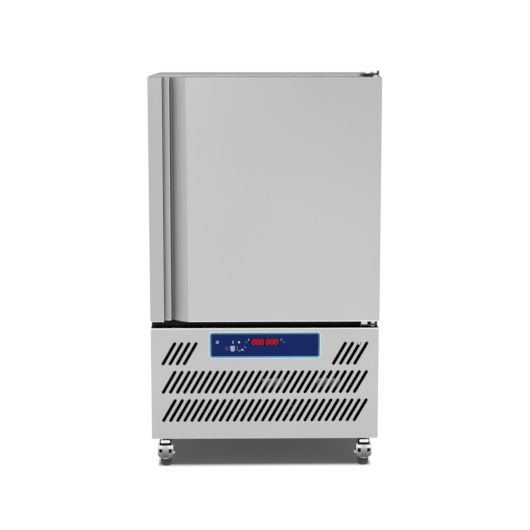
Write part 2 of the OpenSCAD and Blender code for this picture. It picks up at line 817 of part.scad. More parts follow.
module fan_guards() {
    wire = 1.6;
    rings = 4;
    y_guard = y_fan_panel - sheet - 10;
    color(zinc) for (z = fan_z) translate([0, y_guard, z]) union() {
        for (i = [1 : rings]) rotate([90, 0, 0]) rotate_extrude()
            translate([fan_r * i / rings, 0]) circle(r = wire, $fn = 16);
        for (a = [45, 135, 225, 315]) rotate([0, a, 0]) {
            rod_x(-wire, 0, 6, fan_r + fan_ring + 12, wire + 0.5);
            rod([fan_r + fan_ring + 10, -wire, 0], [fan_r + fan_ring + 10, 10, 0], wire + 1);
        }
        rod_y(0, 0, -wire - 3, -wire + 3, 12);
    }
}

module evaporator_motors() {
    for (z = fan_z) translate([0, y_fan_panel, z]) fan_motor(fan_r + fan_ring + 4, motor_gap);
}

module evaporator_fan(i) {
    translate([0, y_fan_panel, fan_z[i]]) axial_fan(fan_r, 2, 30, motor_gap + 20);
}

module evaporator_fan_upper() { evaporator_fan(0); }
module evaporator_fan_lower() { evaporator_fan(1); }

module drip_tray() {
    y0 = coil_y0 - 12;
    rim = 20;
    color(steel) difference() {
        union() {
            block(-coil_half - 12, coil_half + 12, y0, y_cav_back, drip_low, drip_low + rim);
            rod_z(drain_x, drain_y, z_cav_low + 3, drip_low + 1, drain_bore - 1.5);
        }
        block(-coil_half - 12 + sheet, coil_half + 12 - sheet, y0 + sheet, y_cav_back - sheet,
            drip_low + sheet, drip_low + rim + 1);
        rod_z(drain_x, drain_y, z_cav_low - 1, drip_low + 5, drain_bore - 3);
    }
}

module expansion_valve() {
    z0 = valve_z;
    color("goldenrod") union() {
        rod_z(line_x, liquid_y, z0, z0 + 46, 12);
        rod_z(line_x, liquid_y, z0 + 46, z0 + 58, 17);
        rod_x(liquid_y, z0 + 20, coil_half, line_x, liquid_r);
    }
}

module rack(side) {
    web = rack_clear / 2;
    x0 = web + sheet;
    color(zinc) difference() {
        union() {
            for (y = upright_spots)
                block(x0, x0 + upright, y - upright / 2, y + upright / 2,
                    rack_first - 14, rack_first + rack_levels * rack_pitch - 34);
            for (i = [0 : rack_levels - 1]) {
                z = rack_first + i * rack_pitch;
                block(web - runner_flange, x0, rack_y0, rack_y0 + runner_len, z - 1.5, z);
                block(web, x0, rack_y0, rack_y0 + runner_len, z - 14, z);
            }
        }
        for (y = upright_spots, z = stud_z) rod_x(y, z, web - 5, x_in, stud_r + 0.2);
    }
}

module tray_racks() {
    rack(1);
    mirror([1, 0, 0]) rack(1);
}

module probe_socket() {
    x0 = x_in - 9;
    y = y_fan_panel - 40;
    color(dark) difference() {
        rod_x(y, z_cav_high - 70, x0, x_in, 14);
        rod_x(y, z_cav_high - 70, x0 - 1, x_in - 3, 5);
    }
}

// ---- hinge ---------------------------------------------------------------------------------------------

module hinge_brackets() {
    top_z = z_top + bracket_lift;
    color(dark) difference() {
        union() {
            block(bracket_x0, bracket_x1, bracket_reach, y_face + bracket_tail, top_z, top_z + bracket_t);
            block(bracket_x0, bracket_x1, y_face + 2, y_face + bracket_tail, z_top, top_z);
            block(bracket_x1 - 4, bracket_x1, pivot_y - 8, pivot_y + 40, top_z, top_z + bracket_t + ear_h);
            block(bracket_x0, bracket_x1, bracket_reach, y_face,
                lower_bracket_z, lower_bracket_z + bracket_t);
            block(bracket_x0, bracket_x1, y_face - 5, y_face, lower_bracket_z, lower_bracket_z + 38);
        }
        rod_z(pivot_x, pivot_y, top_z - 1, top_z + bracket_t + 1, pin_r + running);
        rod_z(pivot_x, pivot_y, lower_bracket_z - 1, lower_bracket_z + bracket_t + 1, pin_r + running);
    }
}

module hinge_pins() {
    plate_top = z_top + bracket_lift + bracket_t;
    color(zinc) union() {
        rod_z(pivot_x, pivot_y, z_top - bush_len + 1, plate_top + 1, pin_r);
        rod_z(pivot_x, pivot_y, plate_top, plate_top + pin_head_h, pin_head_r);
        rod_z(pivot_x, pivot_y, lower_bracket_z - 4, z_door + bush_len - 1, pin_r);
        rod_z(pivot_x, pivot_y, lower_bracket_z - 4, lower_bracket_z, pin_head_r);
        rod_z(pivot_x, pivot_y, lower_bracket_z + bracket_t, z_door - seat, pin_head_r);
    }
}

module hinge_bushes() {
    color("white") difference() {
        union() {
            rod_z(pivot_x, pivot_y, z_door, z_door + bush_len, bush_r);
            rod_z(pivot_x, pivot_y, z_top - bush_len, z_top, bush_r);
        }
        rod_z(pivot_x, pivot_y, z_door - 1, z_door + bush_len + 1, pin_r + running);
        rod_z(pivot_x, pivot_y, z_top - bush_len - 1, z_top + 1, pin_r + running);
    }
}

// ---- door ----------------------------------------------------------------------------------------------

// the door's section is drawn from above, x from its left edge and y back from its front
lip_x = grip_strip_w + grip_lip_w;
groove_x = grip_strip_w + 6;
lip_back = grip_lip_depth + grip_hem;
round_steps = 10;
handle_path = [[0, door_t], [0, 0], [grip_strip_w, 0], [grip_strip_w, grip_lip_depth],
    [lip_x, grip_lip_depth], [lip_x, lip_back], [groove_x, lip_back], [groove_x, grip_round]];
flank = arc_points(grip_w, grip_round, grip_round, 180, 270, round_steps);
skin_path = concat([[groove_x, grip_round]], flank, [[cabinet_w, 0], [cabinet_w, door_t]]);
door_outline = concat(handle_path, [for (i = [1 : len(skin_path) - 1]) skin_path[i]]);

module in_door() {
    translate([-x_out, y_front, 0]) children();
}

module bush_holes() {
    rod_z(pivot_x, pivot_y, z_door - 1, z_door + bush_len + 0.1, bush_r + 0.1);
    rod_z(pivot_x, pivot_y, z_top - bush_len - 0.1, z_top + 1, bush_r + 0.1);
}

module door_skin() {
    color(steel) in_door() translate([0, 0, z_door + sheet]) linear_extrude(door_h - 2 * sheet)
        bent_sheet(skin_path, sheet);
}

module door_handle() {
    color(steel) in_door() translate([0, 0, z_door + sheet]) linear_extrude(door_h - 2 * sheet)
        bent_sheet(handle_path, sheet);
}

module door_end_plates() {
    color(steel) difference() {
        for (z = [z_door, z_top - sheet])
            in_door() translate([0, 0, z]) linear_extrude(sheet) polygon(door_outline);
        bush_holes();
    }
    // stop block under the leaf, which limits the opening
    color(zinc) block(pivot_x - stop_far, pivot_x - stop_near, y_front + stop_inset, pivot_y + stop_inset,
        z_door - stop_h, z_door);
}

module door_core() {
    t = sheet;
    core_skin = beside(skin_path, t);
    core_flank = [for (i = [1 : len(core_skin) - 2]) core_skin[i]];
    core = concat([[t, door_t - t], [t, t], [grip_strip_w - t, t], [grip_strip_w - t, grip_lip_depth + t],
        [groove_x - t, grip_lip_depth + t], [groove_x - t, grip_round + t]], core_flank,
        [[cabinet_w - t, door_t - t]]);
    color("khaki") difference() {
        in_door() translate([0, 0, z_door + t]) linear_extrude(door_h - 2 * t) polygon(core);
        bush_holes();
    }
}

module door_inner_pan() {
    color(steel) block(-x_out + sheet, x_out - sheet, y_leaf_back - sheet, y_leaf_back,
        z_door + sheet, z_top - sheet);
}

module ring_y(half_w, z0, z1, w, y0, y1) {
    difference() {
        block(-half_w, half_w, y0, y1, z0, z1);
        block(-half_w + w, half_w - w, y0 - 1, y1 + 1, z0 + w, z1 - w);
    }
}

module door_gasket() {
    inset = pivot_inset + 3;
    foot = 4;
    neck = 5;
    half_w = x_out - inset;
    z0 = z_door + inset;
    z1 = z_top - inset;
    color(dark) union() {
        ring_y(half_w, z0, z1, gasket_w, y_leaf_back, y_leaf_back + foot);
        ring_y(half_w - neck, z0 + neck, z1 - neck, gasket_w - 2 * neck,
            y_leaf_back + foot, y_face - foot - seat);
        ring_y(half_w - 2, z0 + 2, z1 - 2, gasket_w - 4, y_face - foot - seat, y_face - seat);
    }
}

// ---- castors -------------------------------------------------------------------------------------------

// the wheels trail outwards: to the front on the front pair, to the back on the rear pair
module at_castor(side, front) {
    translate([side * castor_x, front ? -castor_y : castor_y, 0]) rotate(front ? 0 : 180) children();
}

module castor_plate() {
    color(zinc) union() {
        block(-42, 42, -47, 47, castor_h - plate_t, castor_h);
        rod_z(0, 0, crown_top + 0.3, castor_h - plate_t + 1, 28);
        rod_z(0, 0, crown_low - 6, castor_h - 1, kingpin_r);
        translate([0, 0, crown_low - 6]) hex_head(10, 5.7);
        for (sx = [-1, 1], sy = [-1, 1]) translate([sx * 32, sy * 38, castor_h - plate_t - 5]) hex_head(6, 6);
    }
}

module caster_plates() {
    for (side = [-1, 1], front = [true, false]) at_castor(side, front) castor_plate();
}

module castor_fork(braked) {
    reach = 9;
    color(zinc) difference() {
        union() {
            rod_z(0, 0, crown_low + crown_plate - 1, crown_top, crown_r);
            block(-fork_half - leg_t, fork_half + leg_t, -trail - 8, 27, crown_low, crown_low + crown_plate);
            for (x = [-fork_half - leg_t, fork_half]) slab_x(x, x + leg_t) union() {
                polygon(concat([[27, crown_low + crown_plate], [-trail - 8, crown_low + crown_plate]],
                    arc_points(-trail, axle_z, 14, 180, 360, 8)));
                if (braked) polygon(concat(
                    [[-trail, crown_low + crown_plate - 1], [-trail - 10, pedal_z - 10]],
                    arc_points(pedal_y, pedal_z, 7, 270, 90, 8)));
            }
        }
        rod_z(0, 0, crown_low - 1, crown_top + 1, kingpin_r + running);
        rod_x(-trail, axle_z, -fork_half - 10, fork_half + 10, axle_r + 0.02);
        if (braked) rod_x(pedal_y, pedal_z, -fork_half - reach, fork_half + reach, pedal_pin_r + running);
    }
    color(zinc) union() {
        rod_x(-trail, axle_z, -fork_half - leg_t - 8, fork_half + leg_t + 9, axle_r);
        translate([-fork_half - leg_t - 6, -trail, axle_z]) rotate([0, 90, 0]) hex_head(9, 6);
        translate([fork_half + leg_t, -trail, axle_z]) rotate([0, 90, 0]) hex_head(9, 7);
    }
}

module castor_wheel() {
    rim_r = axle_z - 13;
    hub_r = 13;
    hub_half = fork_half - seat;
    tread = tyre_w / 2;
    round_r = 6;
    outline = concat([[axle_r + running, -hub_half], [hub_r, -hub_half], [hub_r, -7], [rim_r - 5, -7],
        [rim_r - 3, -tread + 3], [rim_r, -tread]],
        arc_points(axle_z - round_r, -tread + round_r, round_r, -90, 0, 6),
        arc_points(axle_z - round_r, tread - round_r, round_r, 0, 90, 6),
        [[rim_r, tread], [rim_r - 3, tread - 3], [rim_r - 5, 7], [hub_r, 7], [hub_r, hub_half],
        [axle_r + running, hub_half]]);
    color(dark) translate([0, -trail, axle_z]) rotate([0, 90, 0]) rotate_extrude($fn = 96) polygon(outline);
}

module brake_pedal() {
    cheek_x = fork_half + leg_t + seat;
    shield_low = axle_z - 8;
    shield_high = pedal_z + 4;
    color(zinc) union() {
        slab_y(shield_y - 3, shield_y) polygon(concat([[-shield_half, shield_high],
            [-shield_half, shield_low + 16]], arc_points(0, shield_low + 34, 34, 212, 328, 8),
            [[shield_half, shield_low + 16], [shield_half, shield_high]]));
        for (x = [-cheek_x - 3, cheek_x])
            block(x, x + 3, shield_y - 1, pedal_y + 6, pedal_z - 8, pedal_z + 4);
        rod_x(pedal_y, pedal_z, -cheek_x - 1, cheek_x + 1, pedal_pin_r);
    }
}

module caster_fork_fl() { at_castor(-1, true) castor_fork(true); }
module caster_fork_fr() { at_castor(1, true) castor_fork(true); }
module caster_fork_rl() { at_castor(-1, false) castor_fork(false); }
module caster_fork_rr() { at_castor(1, false) castor_fork(false); }
module caster_wheel_fl() { at_castor(-1, true) castor_wheel(); }
module caster_wheel_fr() { at_castor(1, true) castor_wheel(); }
module caster_wheel_rl() { at_castor(-1, false) castor_wheel(); }
module caster_wheel_rr() { at_castor(1, false) castor_wheel(); }
module brake_pedal_fl() { at_castor(-1, true) brake_pedal(); }
module brake_pedal_fr() { at_castor(1, true) brake_pedal(); }

outer_casing();
rear_panel();
rear_grille();
insulation();
cavity_liner();
front_frame();
base_pan();
ledge_trim();
front_panel();
panel_screws();
control_fascia();
display_lens();
control_board();
key_power();
key_select();
key_mode();
key_start();
electrics_box();
mains_gland();
compressor();
compressor_mounts();
condenser_coil();
condenser_shroud();
condenser_motor();
condenser_fan();
receiver();
filter_drier();
pipework();
condensate_tray();
drain_pipe();
evaporator_coil();
fan_panel();
fan_guards();
evaporator_motors();
evaporator_fan_upper();
evaporator_fan_lower();
drip_tray();
expansion_valve();
tray_racks();
probe_socket();
hinge_brackets();
hinge_pins();
caster_plates();
door_skin();
door_handle();
door_end_plates();
door_core();
door_inner_pan();
door_gasket();
hinge_bushes();
caster_fork_fl();
caster_fork_fr();
caster_fork_rl();
caster_fork_rr();
caster_wheel_fl();
caster_wheel_fr();
caster_wheel_rl();
caster_wheel_rr();
brake_pedal_fl();
brake_pedal_fr();
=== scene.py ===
"""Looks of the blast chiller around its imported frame. Shapes are written in millimetres, in the CAD's frame:
+X to the right seen from the front, the door faces -Y, +Z up, origin on the floor in the middle of the plan."""

import json
import math

import bmesh
import bpy
from mathutils import Matrix, Vector

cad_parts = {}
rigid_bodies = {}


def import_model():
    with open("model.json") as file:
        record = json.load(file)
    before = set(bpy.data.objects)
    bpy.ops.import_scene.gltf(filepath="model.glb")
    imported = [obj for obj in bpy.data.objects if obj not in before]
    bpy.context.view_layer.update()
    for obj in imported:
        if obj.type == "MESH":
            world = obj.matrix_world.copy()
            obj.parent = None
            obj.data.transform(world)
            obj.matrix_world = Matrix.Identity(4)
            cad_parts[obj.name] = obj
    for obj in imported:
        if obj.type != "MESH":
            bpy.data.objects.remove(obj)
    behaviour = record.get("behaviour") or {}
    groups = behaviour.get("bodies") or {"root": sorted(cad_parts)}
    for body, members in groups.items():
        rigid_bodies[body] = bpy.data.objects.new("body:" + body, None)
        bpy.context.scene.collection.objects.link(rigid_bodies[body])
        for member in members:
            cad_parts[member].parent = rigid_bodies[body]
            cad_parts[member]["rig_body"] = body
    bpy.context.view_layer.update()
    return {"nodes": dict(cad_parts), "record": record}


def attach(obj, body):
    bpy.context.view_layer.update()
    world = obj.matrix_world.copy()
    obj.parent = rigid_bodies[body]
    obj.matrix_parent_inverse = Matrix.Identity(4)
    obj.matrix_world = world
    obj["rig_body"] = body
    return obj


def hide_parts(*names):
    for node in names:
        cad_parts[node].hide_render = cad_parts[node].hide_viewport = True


for old in list(bpy.data.objects):
    bpy.data.objects.remove(old)
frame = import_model()
NODES = frame["nodes"]
SLOTS = {part["node"]: part["material_slot"] for part in frame["record"]["subparts"]}
BODY = {name: node["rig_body"] for name, node in NODES.items()}
MM = 0.001

# sizes of part.scad in mm
X_OUT, X_IN = 405, 345
Y_FRONT, Y_LEAF_BACK, Y_FACE, Y_PANEL, Y_BACK = -405, -345, -330, -390, 405
Z_TOP, Z_DOOR, Z_PANEL_TOP, Z_PANEL_LOW = 1412, 550, 524, 121
Z_CAV_LOW, Z_CAV_HIGH, Y_CAV_BACK = 608, 1352, 345
SHEET = 1.2
PIVOT_X, PIVOT_Y = 383, -375
FASCIA_Z, FASCIA_W, FASCIA_H = 462.5, 398, 97
WINDOW_X, WINDOW_Z, WINDOW_W, WINDOW_H = -1, 475.5, 104, 27
KEY_SPOTS = {"power": (-169, 11.5), "select": (-117, 11.5), "mode": (-92, 11.5), "start": (-81, -15)}
KEY_R = 8
COMP_X, COMP_Y, COMP_Z = -200, 130, 156
FAN_HEIGHTS = {"upper": 1162, "lower": 842}
FAN_PANEL_Y = 130
WHEEL_X, WHEEL_Y, WHEEL_R, SWIVEL_Y = 358, 310, 50, 275

# ---- camera ----------------------------------------------------------------------------------------------

camera = bpy.data.objects.new("camera", bpy.data.cameras.new("camera"))
bpy.context.scene.collection.objects.link(camera)
bpy.context.scene.camera = camera
camera.location = (-0.089, -5.405, 1.502)
camera.rotation_euler = (Vector((0.0, -0.405, 0.7528)) - camera.location).to_track_quat("-Z", "Y").to_euler()
camera.data.lens = 97.7
camera.data.sensor_width = 36

# ---- materials -------------------------------------------------------------------------------------------


class Shade:
    """A material's node tree with short calls."""

    def __init__(self, tree):
        self.tree = tree
        tree.nodes.clear()

    def add(self, kind, inputs=None, **settings):
        node = self.tree.nodes.new("ShaderNode" + kind)
        for key, value in settings.items():
            setattr(node, key, value)
        for key, value in (inputs or {}).items():
            self.put(node.inputs[key], value)
        return node

    def put(self, socket, value):
        if isinstance(value, bpy.types.NodeSocket):
            self.tree.links.new(value, socket)
        else:
            socket.default_value = value

    def math(self, operation, a, b=0.0, c=0.0):
        return self.add("Math", {0: a, 1: b, 2: c}, operation=operation).outputs[0]

    def place(self, scale):
        where = self.add("TexCoord").outputs["Object"]
        sizes = scale if isinstance(scale, tuple) else (scale,) * 3
        return self.add("Mapping", {"Vector": where, "Scale": sizes}).outputs[0]

    def noise(self, scale, detail=2.0):
        """Noise from 0 to 1; scale is its cycles per metre, one number or one each for x, y and z."""
        inputs = {"Vector": self.place(scale), "Scale": 1.0, "Detail": detail}
        return self.add("TexNoise", inputs).outputs["Fac"]

    def cells(self, scale):
        return self.add("TexVoronoi", {"Vector": self.place(scale), "Scale": 1.0}).outputs["Color"]

    def around(self, signal, middle, swing):
        """Brings a signal about 0.5 to a number about middle."""
        return self.math("MULTIPLY_ADD", signal, 2 * swing, middle - swing)

    def curve(self, axis, stops):
        """A number that changes along an axis, through (place in mm, number) stops."""
        where = self.add("SeparateXYZ", {0: self.add("TexCoord").outputs["Object"]}).outputs[axis]
        low, high = stops[0][0] * MM, stops[-1][0] * MM
        along = self.add("MapRange", {0: where, 1: low, 2: high, 3: 0.0, 4: 1.0}).outputs[0]
        ramp = self.add("ValToRGB", {0: along})
        marks = ramp.color_ramp.elements
        while len(marks) < len(stops):
            marks.new(0.5)
        for mark, (spot, value) in zip(marks, stops):
            mark.position = (spot * MM - low) / (high - low)
            mark.color = (value, value, value, 1)
        return ramp.outputs["Color"]

    def tint(self, color, factor):
        """The colour times a factor that varies over the surface."""
        grey = self.add("CombineColor", {0: factor, 1: factor, 2: factor}).outputs[0]
        mixed = self.add("Mix", {0: 1.0, 6: (*color, 1), 7: grey}, data_type="RGBA", blend_type="MULTIPLY")
        return mixed.outputs[2]


def finish(name, color, rough, metallic=0.0, spread=0.04, grain=40, patch=3, bump=0.1,
           depth=0.05, rough_swing=0.06, spangle=None, tones=(), **extra):
    """A finish: grain and patches vary its colour by spread and its roughness by rough_swing, and the grain its
    height, by bump's share of depth in mm. spangle adds a pattern of cells to the colour.
    tones holds (axis, [(place in mm, factor), ...]) for slow changes of tone along an axis."""
    material = bpy.data.materials.new(name)
    material.use_nodes = True
    s = Shade(material.node_tree)
    fine = s.noise(grain, 3.0)
    broad = s.noise(patch)
    factor = s.math("ADD", s.around(fine, 0.5, spread), s.around(broad, 0.5, spread * 0.7))
    if spangle:
        facet = s.add("SeparateColor", {0: s.cells(spangle)}).outputs[0]
        factor = s.math("ADD", factor, s.around(facet, 0.0, 0.09))
    for axis, stops in tones:
        factor = s.math("MULTIPLY", factor, s.curve(axis, stops))
    both = s.math("MULTIPLY_ADD", broad, 0.5, s.math("MULTIPLY", fine, 0.5))
    shader = s.add("BsdfPrincipled", {"Base Color": s.tint(color, factor), "Metallic": metallic,
                                      "Roughness": s.around(both, rough, rough_swing), **extra})
    raised = s.add("Bump", {"Strength": bump, "Distance": depth * MM, "Height": fine})
    s.put(shader.inputs["Normal"], raised.outputs[0])
    s.add("OutputMaterial", {0: shader.outputs[0]})
    return material


BARE_STEEL = (0.55, 0.55, 0.55)
BRUSH_UP = (900, 900, 14)
BRUSH_ACROSS = (14, 14, 900)
GRAZING = {"Specular Tint": (0.55, 0.55, 0.55, 1)}
MATT = {"Specular IOR Level": 0.08}
# painted shade and painted highlights across the handle strip, its step and the flat front; painted shade at the
# right edge and darker up the leaf towards its top; a painted highlight along its low edge
GROOVE_PAINTED_LIGHT = [(-405, 0.8), (-403, 0.86), (-359, 0.87), (-357.5, 1.05), (-356, 0.95), (-355, 0.4),
                (-352, 0.36), (-349, 0.5), (-346, 0.64), (-342, 0.7), (-335.5, 0.7), (-334, 1.1), (-331.6, 1.1),
                (-331, 0.6), (-272.6, 0.9), (-271, 1.05), (-268, 1.0), (-262, 0.99)]
DOOR_PAINTED_LIGHT = [(0, GROOVE_PAINTED_LIGHT), (0, [(400, 1.0), (402, 0.97), (403.5, 0.86), (405, 0.86)]),
              (2, [(550, 1.05), (980, 0.98), (1408, 0.83)]), (2, [(550, 1.55), (552.8, 1.5), (553.6, 1.0)])]
looks = {
    # the cabinet's steel is painted a little darker towards its bottom and its top: painted shade
    "steel_outer": finish("brushed_steel_cabinet", BARE_STEEL, 0.36, 1.0, 0.035, BRUSH_UP, (2.2, 2.2, 1.3),
                          tones=[(2, [(121, 0.97), (524, 1.0), (1412, 0.97)])], **GRAZING),
    "steel_door": finish("brushed_steel_door", (0.56, 0.56, 0.56), 0.35, 1.0, 0.03, BRUSH_UP, (2.6, 2.6, 1.2),
                         tones=DOOR_PAINTED_LIGHT, **GRAZING),
    "steel_liner": finish("liner_steel", (0.58, 0.585, 0.585), 0.4, 1.0, 0.035, BRUSH_ACROSS, 3),
    "steel_zinc": finish("zinc_plate", (0.66, 0.665, 0.67), 0.3, 1.0, 0.05, 160, 14),
    "galvanised": finish("galvanised_sheet", (0.5, 0.51, 0.52), 0.42, 1.0, 0.03, 60, 4,
                         spangle=70),
    "black_plastic": finish("black_plastic", (0.018, 0.018, 0.019), 0.5, 0.0, 0.12, 700, 9, 0.3),
    "black_paint": finish("black_paint", (0.012, 0.012, 0.013), 0.38, 0.0, 0.12, 260, 7, 0.25, 0.08),
    # the black ledge is painted four times lighter above 526 mm: painted light in the gap under the door
    "ledge_black": finish("ledge_black", (0.008, 0.008, 0.009), 0.5, 0.0, 0.12, 500, 9, 0.2, 0.05,
                          tones=[(2, [(524.5, 1.0), (526, 4.0), (549, 4.0)])], **MATT),
    "gasket_rubber": finish("gasket_rubber", (0.035, 0.035, 0.037), 0.62, 0.0, 0.12, 420, 9, 0.2),
    "foam": finish("foam", (0.72, 0.6, 0.36), 0.85, 0.0, 0.08, 220, 12, 0.6, 0.6),
    "fascia_blue": finish("fascia_field", (0.003, 0.0145, 0.104), 0.3, 0.0, 0.05, 500, 12, 0.1, 0.02, **MATT),
    "display_red": finish("display_window", (0.008, 0.004, 0.02), 0.12, 0.0, 0.1, 90, 20, 0.02, 0.01, **MATT),
    "board_green": finish("board_green", (0.02, 0.16, 0.07), 0.4, 0.0, 0.1, 300, 30, 0.3),
    "key_white": finish("print_white", (0.5, 0.53, 0.72), 0.4, 0.0, 0.04, 400, 60, 0.05, 0.01, **MATT),
    "white_plastic": finish("white_plastic", (0.76, 0.76, 0.74), 0.42, 0.0, 0.03, 500, 9, 0.1),
    "grey_plastic": finish("grey_plastic", (0.3, 0.305, 0.31), 0.5, 0.0, 0.05, 700, 8, 0.3),
    "copper_pipe": finish("copper_pipe", (0.72, 0.33, 0.19), 0.34, 1.0, 0.1, 120, 16, 0.15, rough_swing=0.12),
    "brass_fitting": finish("brass_fitting", (0.72, 0.53, 0.23), 0.3, 1.0, 0.07, 200, 20),
    "aluminium_fins": finish("aluminium", (0.66, 0.67, 0.68), 0.36, 1.0, 0.06, 240, 10),
    "castor_tyre": finish("tyre_rubber", (0.028, 0.028, 0.03), 0.66, 0.0, 0.15, 300, 25, 0.35, 0.12),
}
# copper pipe painted near black on its front run, the part seen through the slots
pipe_dark_front = finish("pipe_dark_front", (0.72, 0.33, 0.19), 0.4, 1.0, 0.1, 120, 16, 0.15,
                      rough_swing=0.12, tones=[(1, [(-300, 0.02), (-268, 0.02), (-264, 1.0)])], **MATT)
# the panel's steel with painted light: a little lighter about its middle height, and painted highlights along
# its top and bottom rims
steel_panel = finish("brushed_steel_panel", BARE_STEEL, 0.36, 1.0, 0.035, BRUSH_UP, (2.2, 2.2, 1.3),
                     tones=[(2, [(121, 1.0), (320, 1.05), (524, 1.02)]),
                            (2, [(519.6, 1.0), (520.6, 1.5), (524, 1.6)]),
                            (2, [(121, 1.12), (124, 1.1), (125, 1.0)])], **GRAZING)
# the frame's steel with a painted shadow in a band just under its top edge and a painted highlight along that
# edge
frame_steel = finish("frame_steel", (0.58, 0.585, 0.585), 0.4, 1.0, 0.035, BRUSH_ACROSS, 3,
                     tones=[(2, [(1400, 1.0), (1404, 0.1), (1408.4, 0.1), (1409, 1.2), (1412, 1.3)])])
# a darker, duller copy of the door's steel for the handle groove, with painted shade deepest in the groove and
# lightening up its flank
groove_shade_steel = finish("groove_steel_painted_shade", (0.465, 0.465, 0.465), 0.45, 0.4, 0.03, BRUSH_UP, (2.6, 2.6, 1.2),
                      tones=[(0, [(-336, 0.28), (-329, 0.3), (-327, 0.36), (-325, 0.5), (-322, 0.6),
                                  (-320.7, 0.68), (-317.2, 0.95), (-303, 1.04), (-289, 1.0), (-279, 0.98),
                                  (-272, 0.9)])], **MATT)
# a light steel that paints highlights on the panel's rims and slot walls
highlight_edge_steel = finish("painted_highlight_edge", (0.86, 0.86, 0.86), 0.3, 1.0, 0.03, BRUSH_UP, 5)
# a dark, dull copy of the steel for the cabinet's top, painted lighter at the front and darker towards the back:
# painted shade
top_shade_steel = finish("top_steel_painted_shade", (0.2, 0.2, 0.202), 0.5, 0.06, 0.04, BRUSH_UP, (2.2, 1.6, 2.2),
                   tones=[(1, [(-330, 1.2), (0, 1.0), (300, 0.85), (405, 0.55)])], **MATT)
# near-black caps on the leaf's top and bottom, which paint the shadow lines there
shadow_line_cap = finish("leaf_cap_painted_shadow", (0.05, 0.05, 0.052), 0.6, 0.0, 0.08, 400, 9, 0.2, **MATT)
# the fascia's pale outer rim is a painted highlight; the teal bevel is painted lighter towards its bottom and
# darker at its top
pale_rim_highlight = finish("pale_rim_highlight", (0.74, 0.84, 0.88), 0.28, 0.6, 0.03, 300, 20)
rim_teal = finish("rim_teal", (0.1, 0.24, 0.36), 0.25, 0.7, 0.05, 300, 14,
                  tones=[(2, [(414, 1.7), (424, 1.35), (460, 1.0), (500, 1.0), (511, 0.8)])], **MATT)
rim_navy = finish("rim_navy", (0.002, 0.018, 0.08), 0.3, 0.0, 0.05, 300, 20, **MATT)
lamp_red = finish("segment_red", (0.5, 0.004, 0.012), 0.4, 0.0, 0.12, 500, 60, 0.02, 0.01,
                  **{"Emission Color": (0.9, 0.008, 0.025, 1), "Emission Strength": 0.4, **MATT})
print_blue = finish("print_blue", (0.03, 0.11, 0.4), 0.4, 0.0, 0.05, 400, 60, 0.05, 0.01)
print_grey = finish("print_grey", (0.1, 0.13, 0.3), 0.4, 0.0, 0.05, 400, 60, 0.05, 0.01)
print_plum = finish("print_plum", (0.18, 0.015, 0.16), 0.4, 0.0, 0.05, 400, 60, 0.05, 0.01)
hub_grey = finish("hub_grey", (0.2, 0.2, 0.205), 0.5, 0.0, 0.06, 500, 20, 0.3)
# near black with almost no gloss, painting the shade inside the machine compartment seen through the slots
compartment_shade_black = finish("compartment_shade_black", (0.004, 0.004, 0.0045), 0.6, 0.0, 0.1, 300, 10, **MATT)
# clip steel painted with a glint along the clips' top, fading to painted shade below
clip_glint_grey = finish("clip_painted_glint", (0.3, 0.3, 0.3), 0.4, 0.7, 0.06, 300, 20,
                   tones=[(2, [(293, 0.12), (306, 0.4), (318, 1.0), (325, 1.6)])], **MATT)

# ---- mesh helpers ----------------------------------------------------------------------------------------


def shade_edges(bm, limit=50):
    """Smooth faces, with the edges over the limit in degrees kept sharp."""
    for face in bm.faces:
        face.smooth = True
    for edge in bm.edges:
        edge.smooth = not (len(edge.link_faces) == 2 and edge.calc_face_angle(0) > math.radians(limit))


def object_from(bm, name, materials, body, replaced=()):
    """Makes a piece of a bmesh in metres, riding on a body."""
    bmesh.ops.recalc_face_normals(bm, faces=bm.faces)
    shade_edges(bm)
    mesh = bpy.data.meshes.new(name)
    bm.to_mesh(mesh)
    bm.free()
    for material in materials:
        mesh.materials.append(material)
    piece = bpy.data.objects.new(name, mesh)
    bpy.context.scene.collection.objects.link(piece)
    even = piece.modifiers.new("even", "WEIGHTED_NORMAL")
    even.keep_sharp = True
    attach(piece, body)
    if replaced:
        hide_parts(*replaced)
    return piece


def bevel(bm, width, segments=2, angle=30, chosen=None):
    """Rounds the edges that bend more than the angle, or those of them that are chosen."""
    edges = [e for e in bm.edges if len(e.link_faces) == 2 and e.calc_face_angle(0) > math.radians(angle)
             and (chosen is None or chosen((e.verts[0].co + e.verts[1].co) / 2))]
    bmesh.ops.bevel(bm, geom=edges, offset=width, segments=segments, profile=0.5, affect="EDGES",
                    clamp_overlap=False, loop_slide=True)


def refined(node, width, segments=1, chosen=None, wide=1.0):
    """A CAD node with rounded edges, as a piece in its place. The chosen edges are first rounded by wide."""
    bm = bmesh.new()
    bm.from_mesh(NODES[node].data)
    bmesh.ops.remove_doubles(bm, verts=bm.verts, dist=1e-6)
    bmesh.ops.dissolve_limit(bm, angle_limit=math.radians(0.4), verts=bm.verts, edges=bm.edges)
    bmesh.ops.scale(bm, vec=(1 / MM,) * 3, verts=bm.verts)
    if chosen:
        bevel(bm, wide, 3, 30, chosen)
    bevel(bm, width, segments, 35)
    bmesh.ops.scale(bm, vec=(MM,) * 3, verts=bm.verts)
    return object_from(bm, node + "_detail", [looks[SLOTS[node]]], BODY[node], [node])


def circle(r, n=32, cx=0.0, cy=0.0):
    return [(cx + r * math.cos(2 * math.pi * i / n), cy + r * math.sin(2 * math.pi * i / n)) for i in range(n)]


def arc(cx, cy, r, a0, a1, n):
    return [(cx + r * math.cos(math.radians(a0 + (a1 - a0) * i / n)),
             cy + r * math.sin(math.radians(a0 + (a1 - a0) * i / n))) for i in range(n + 1)]


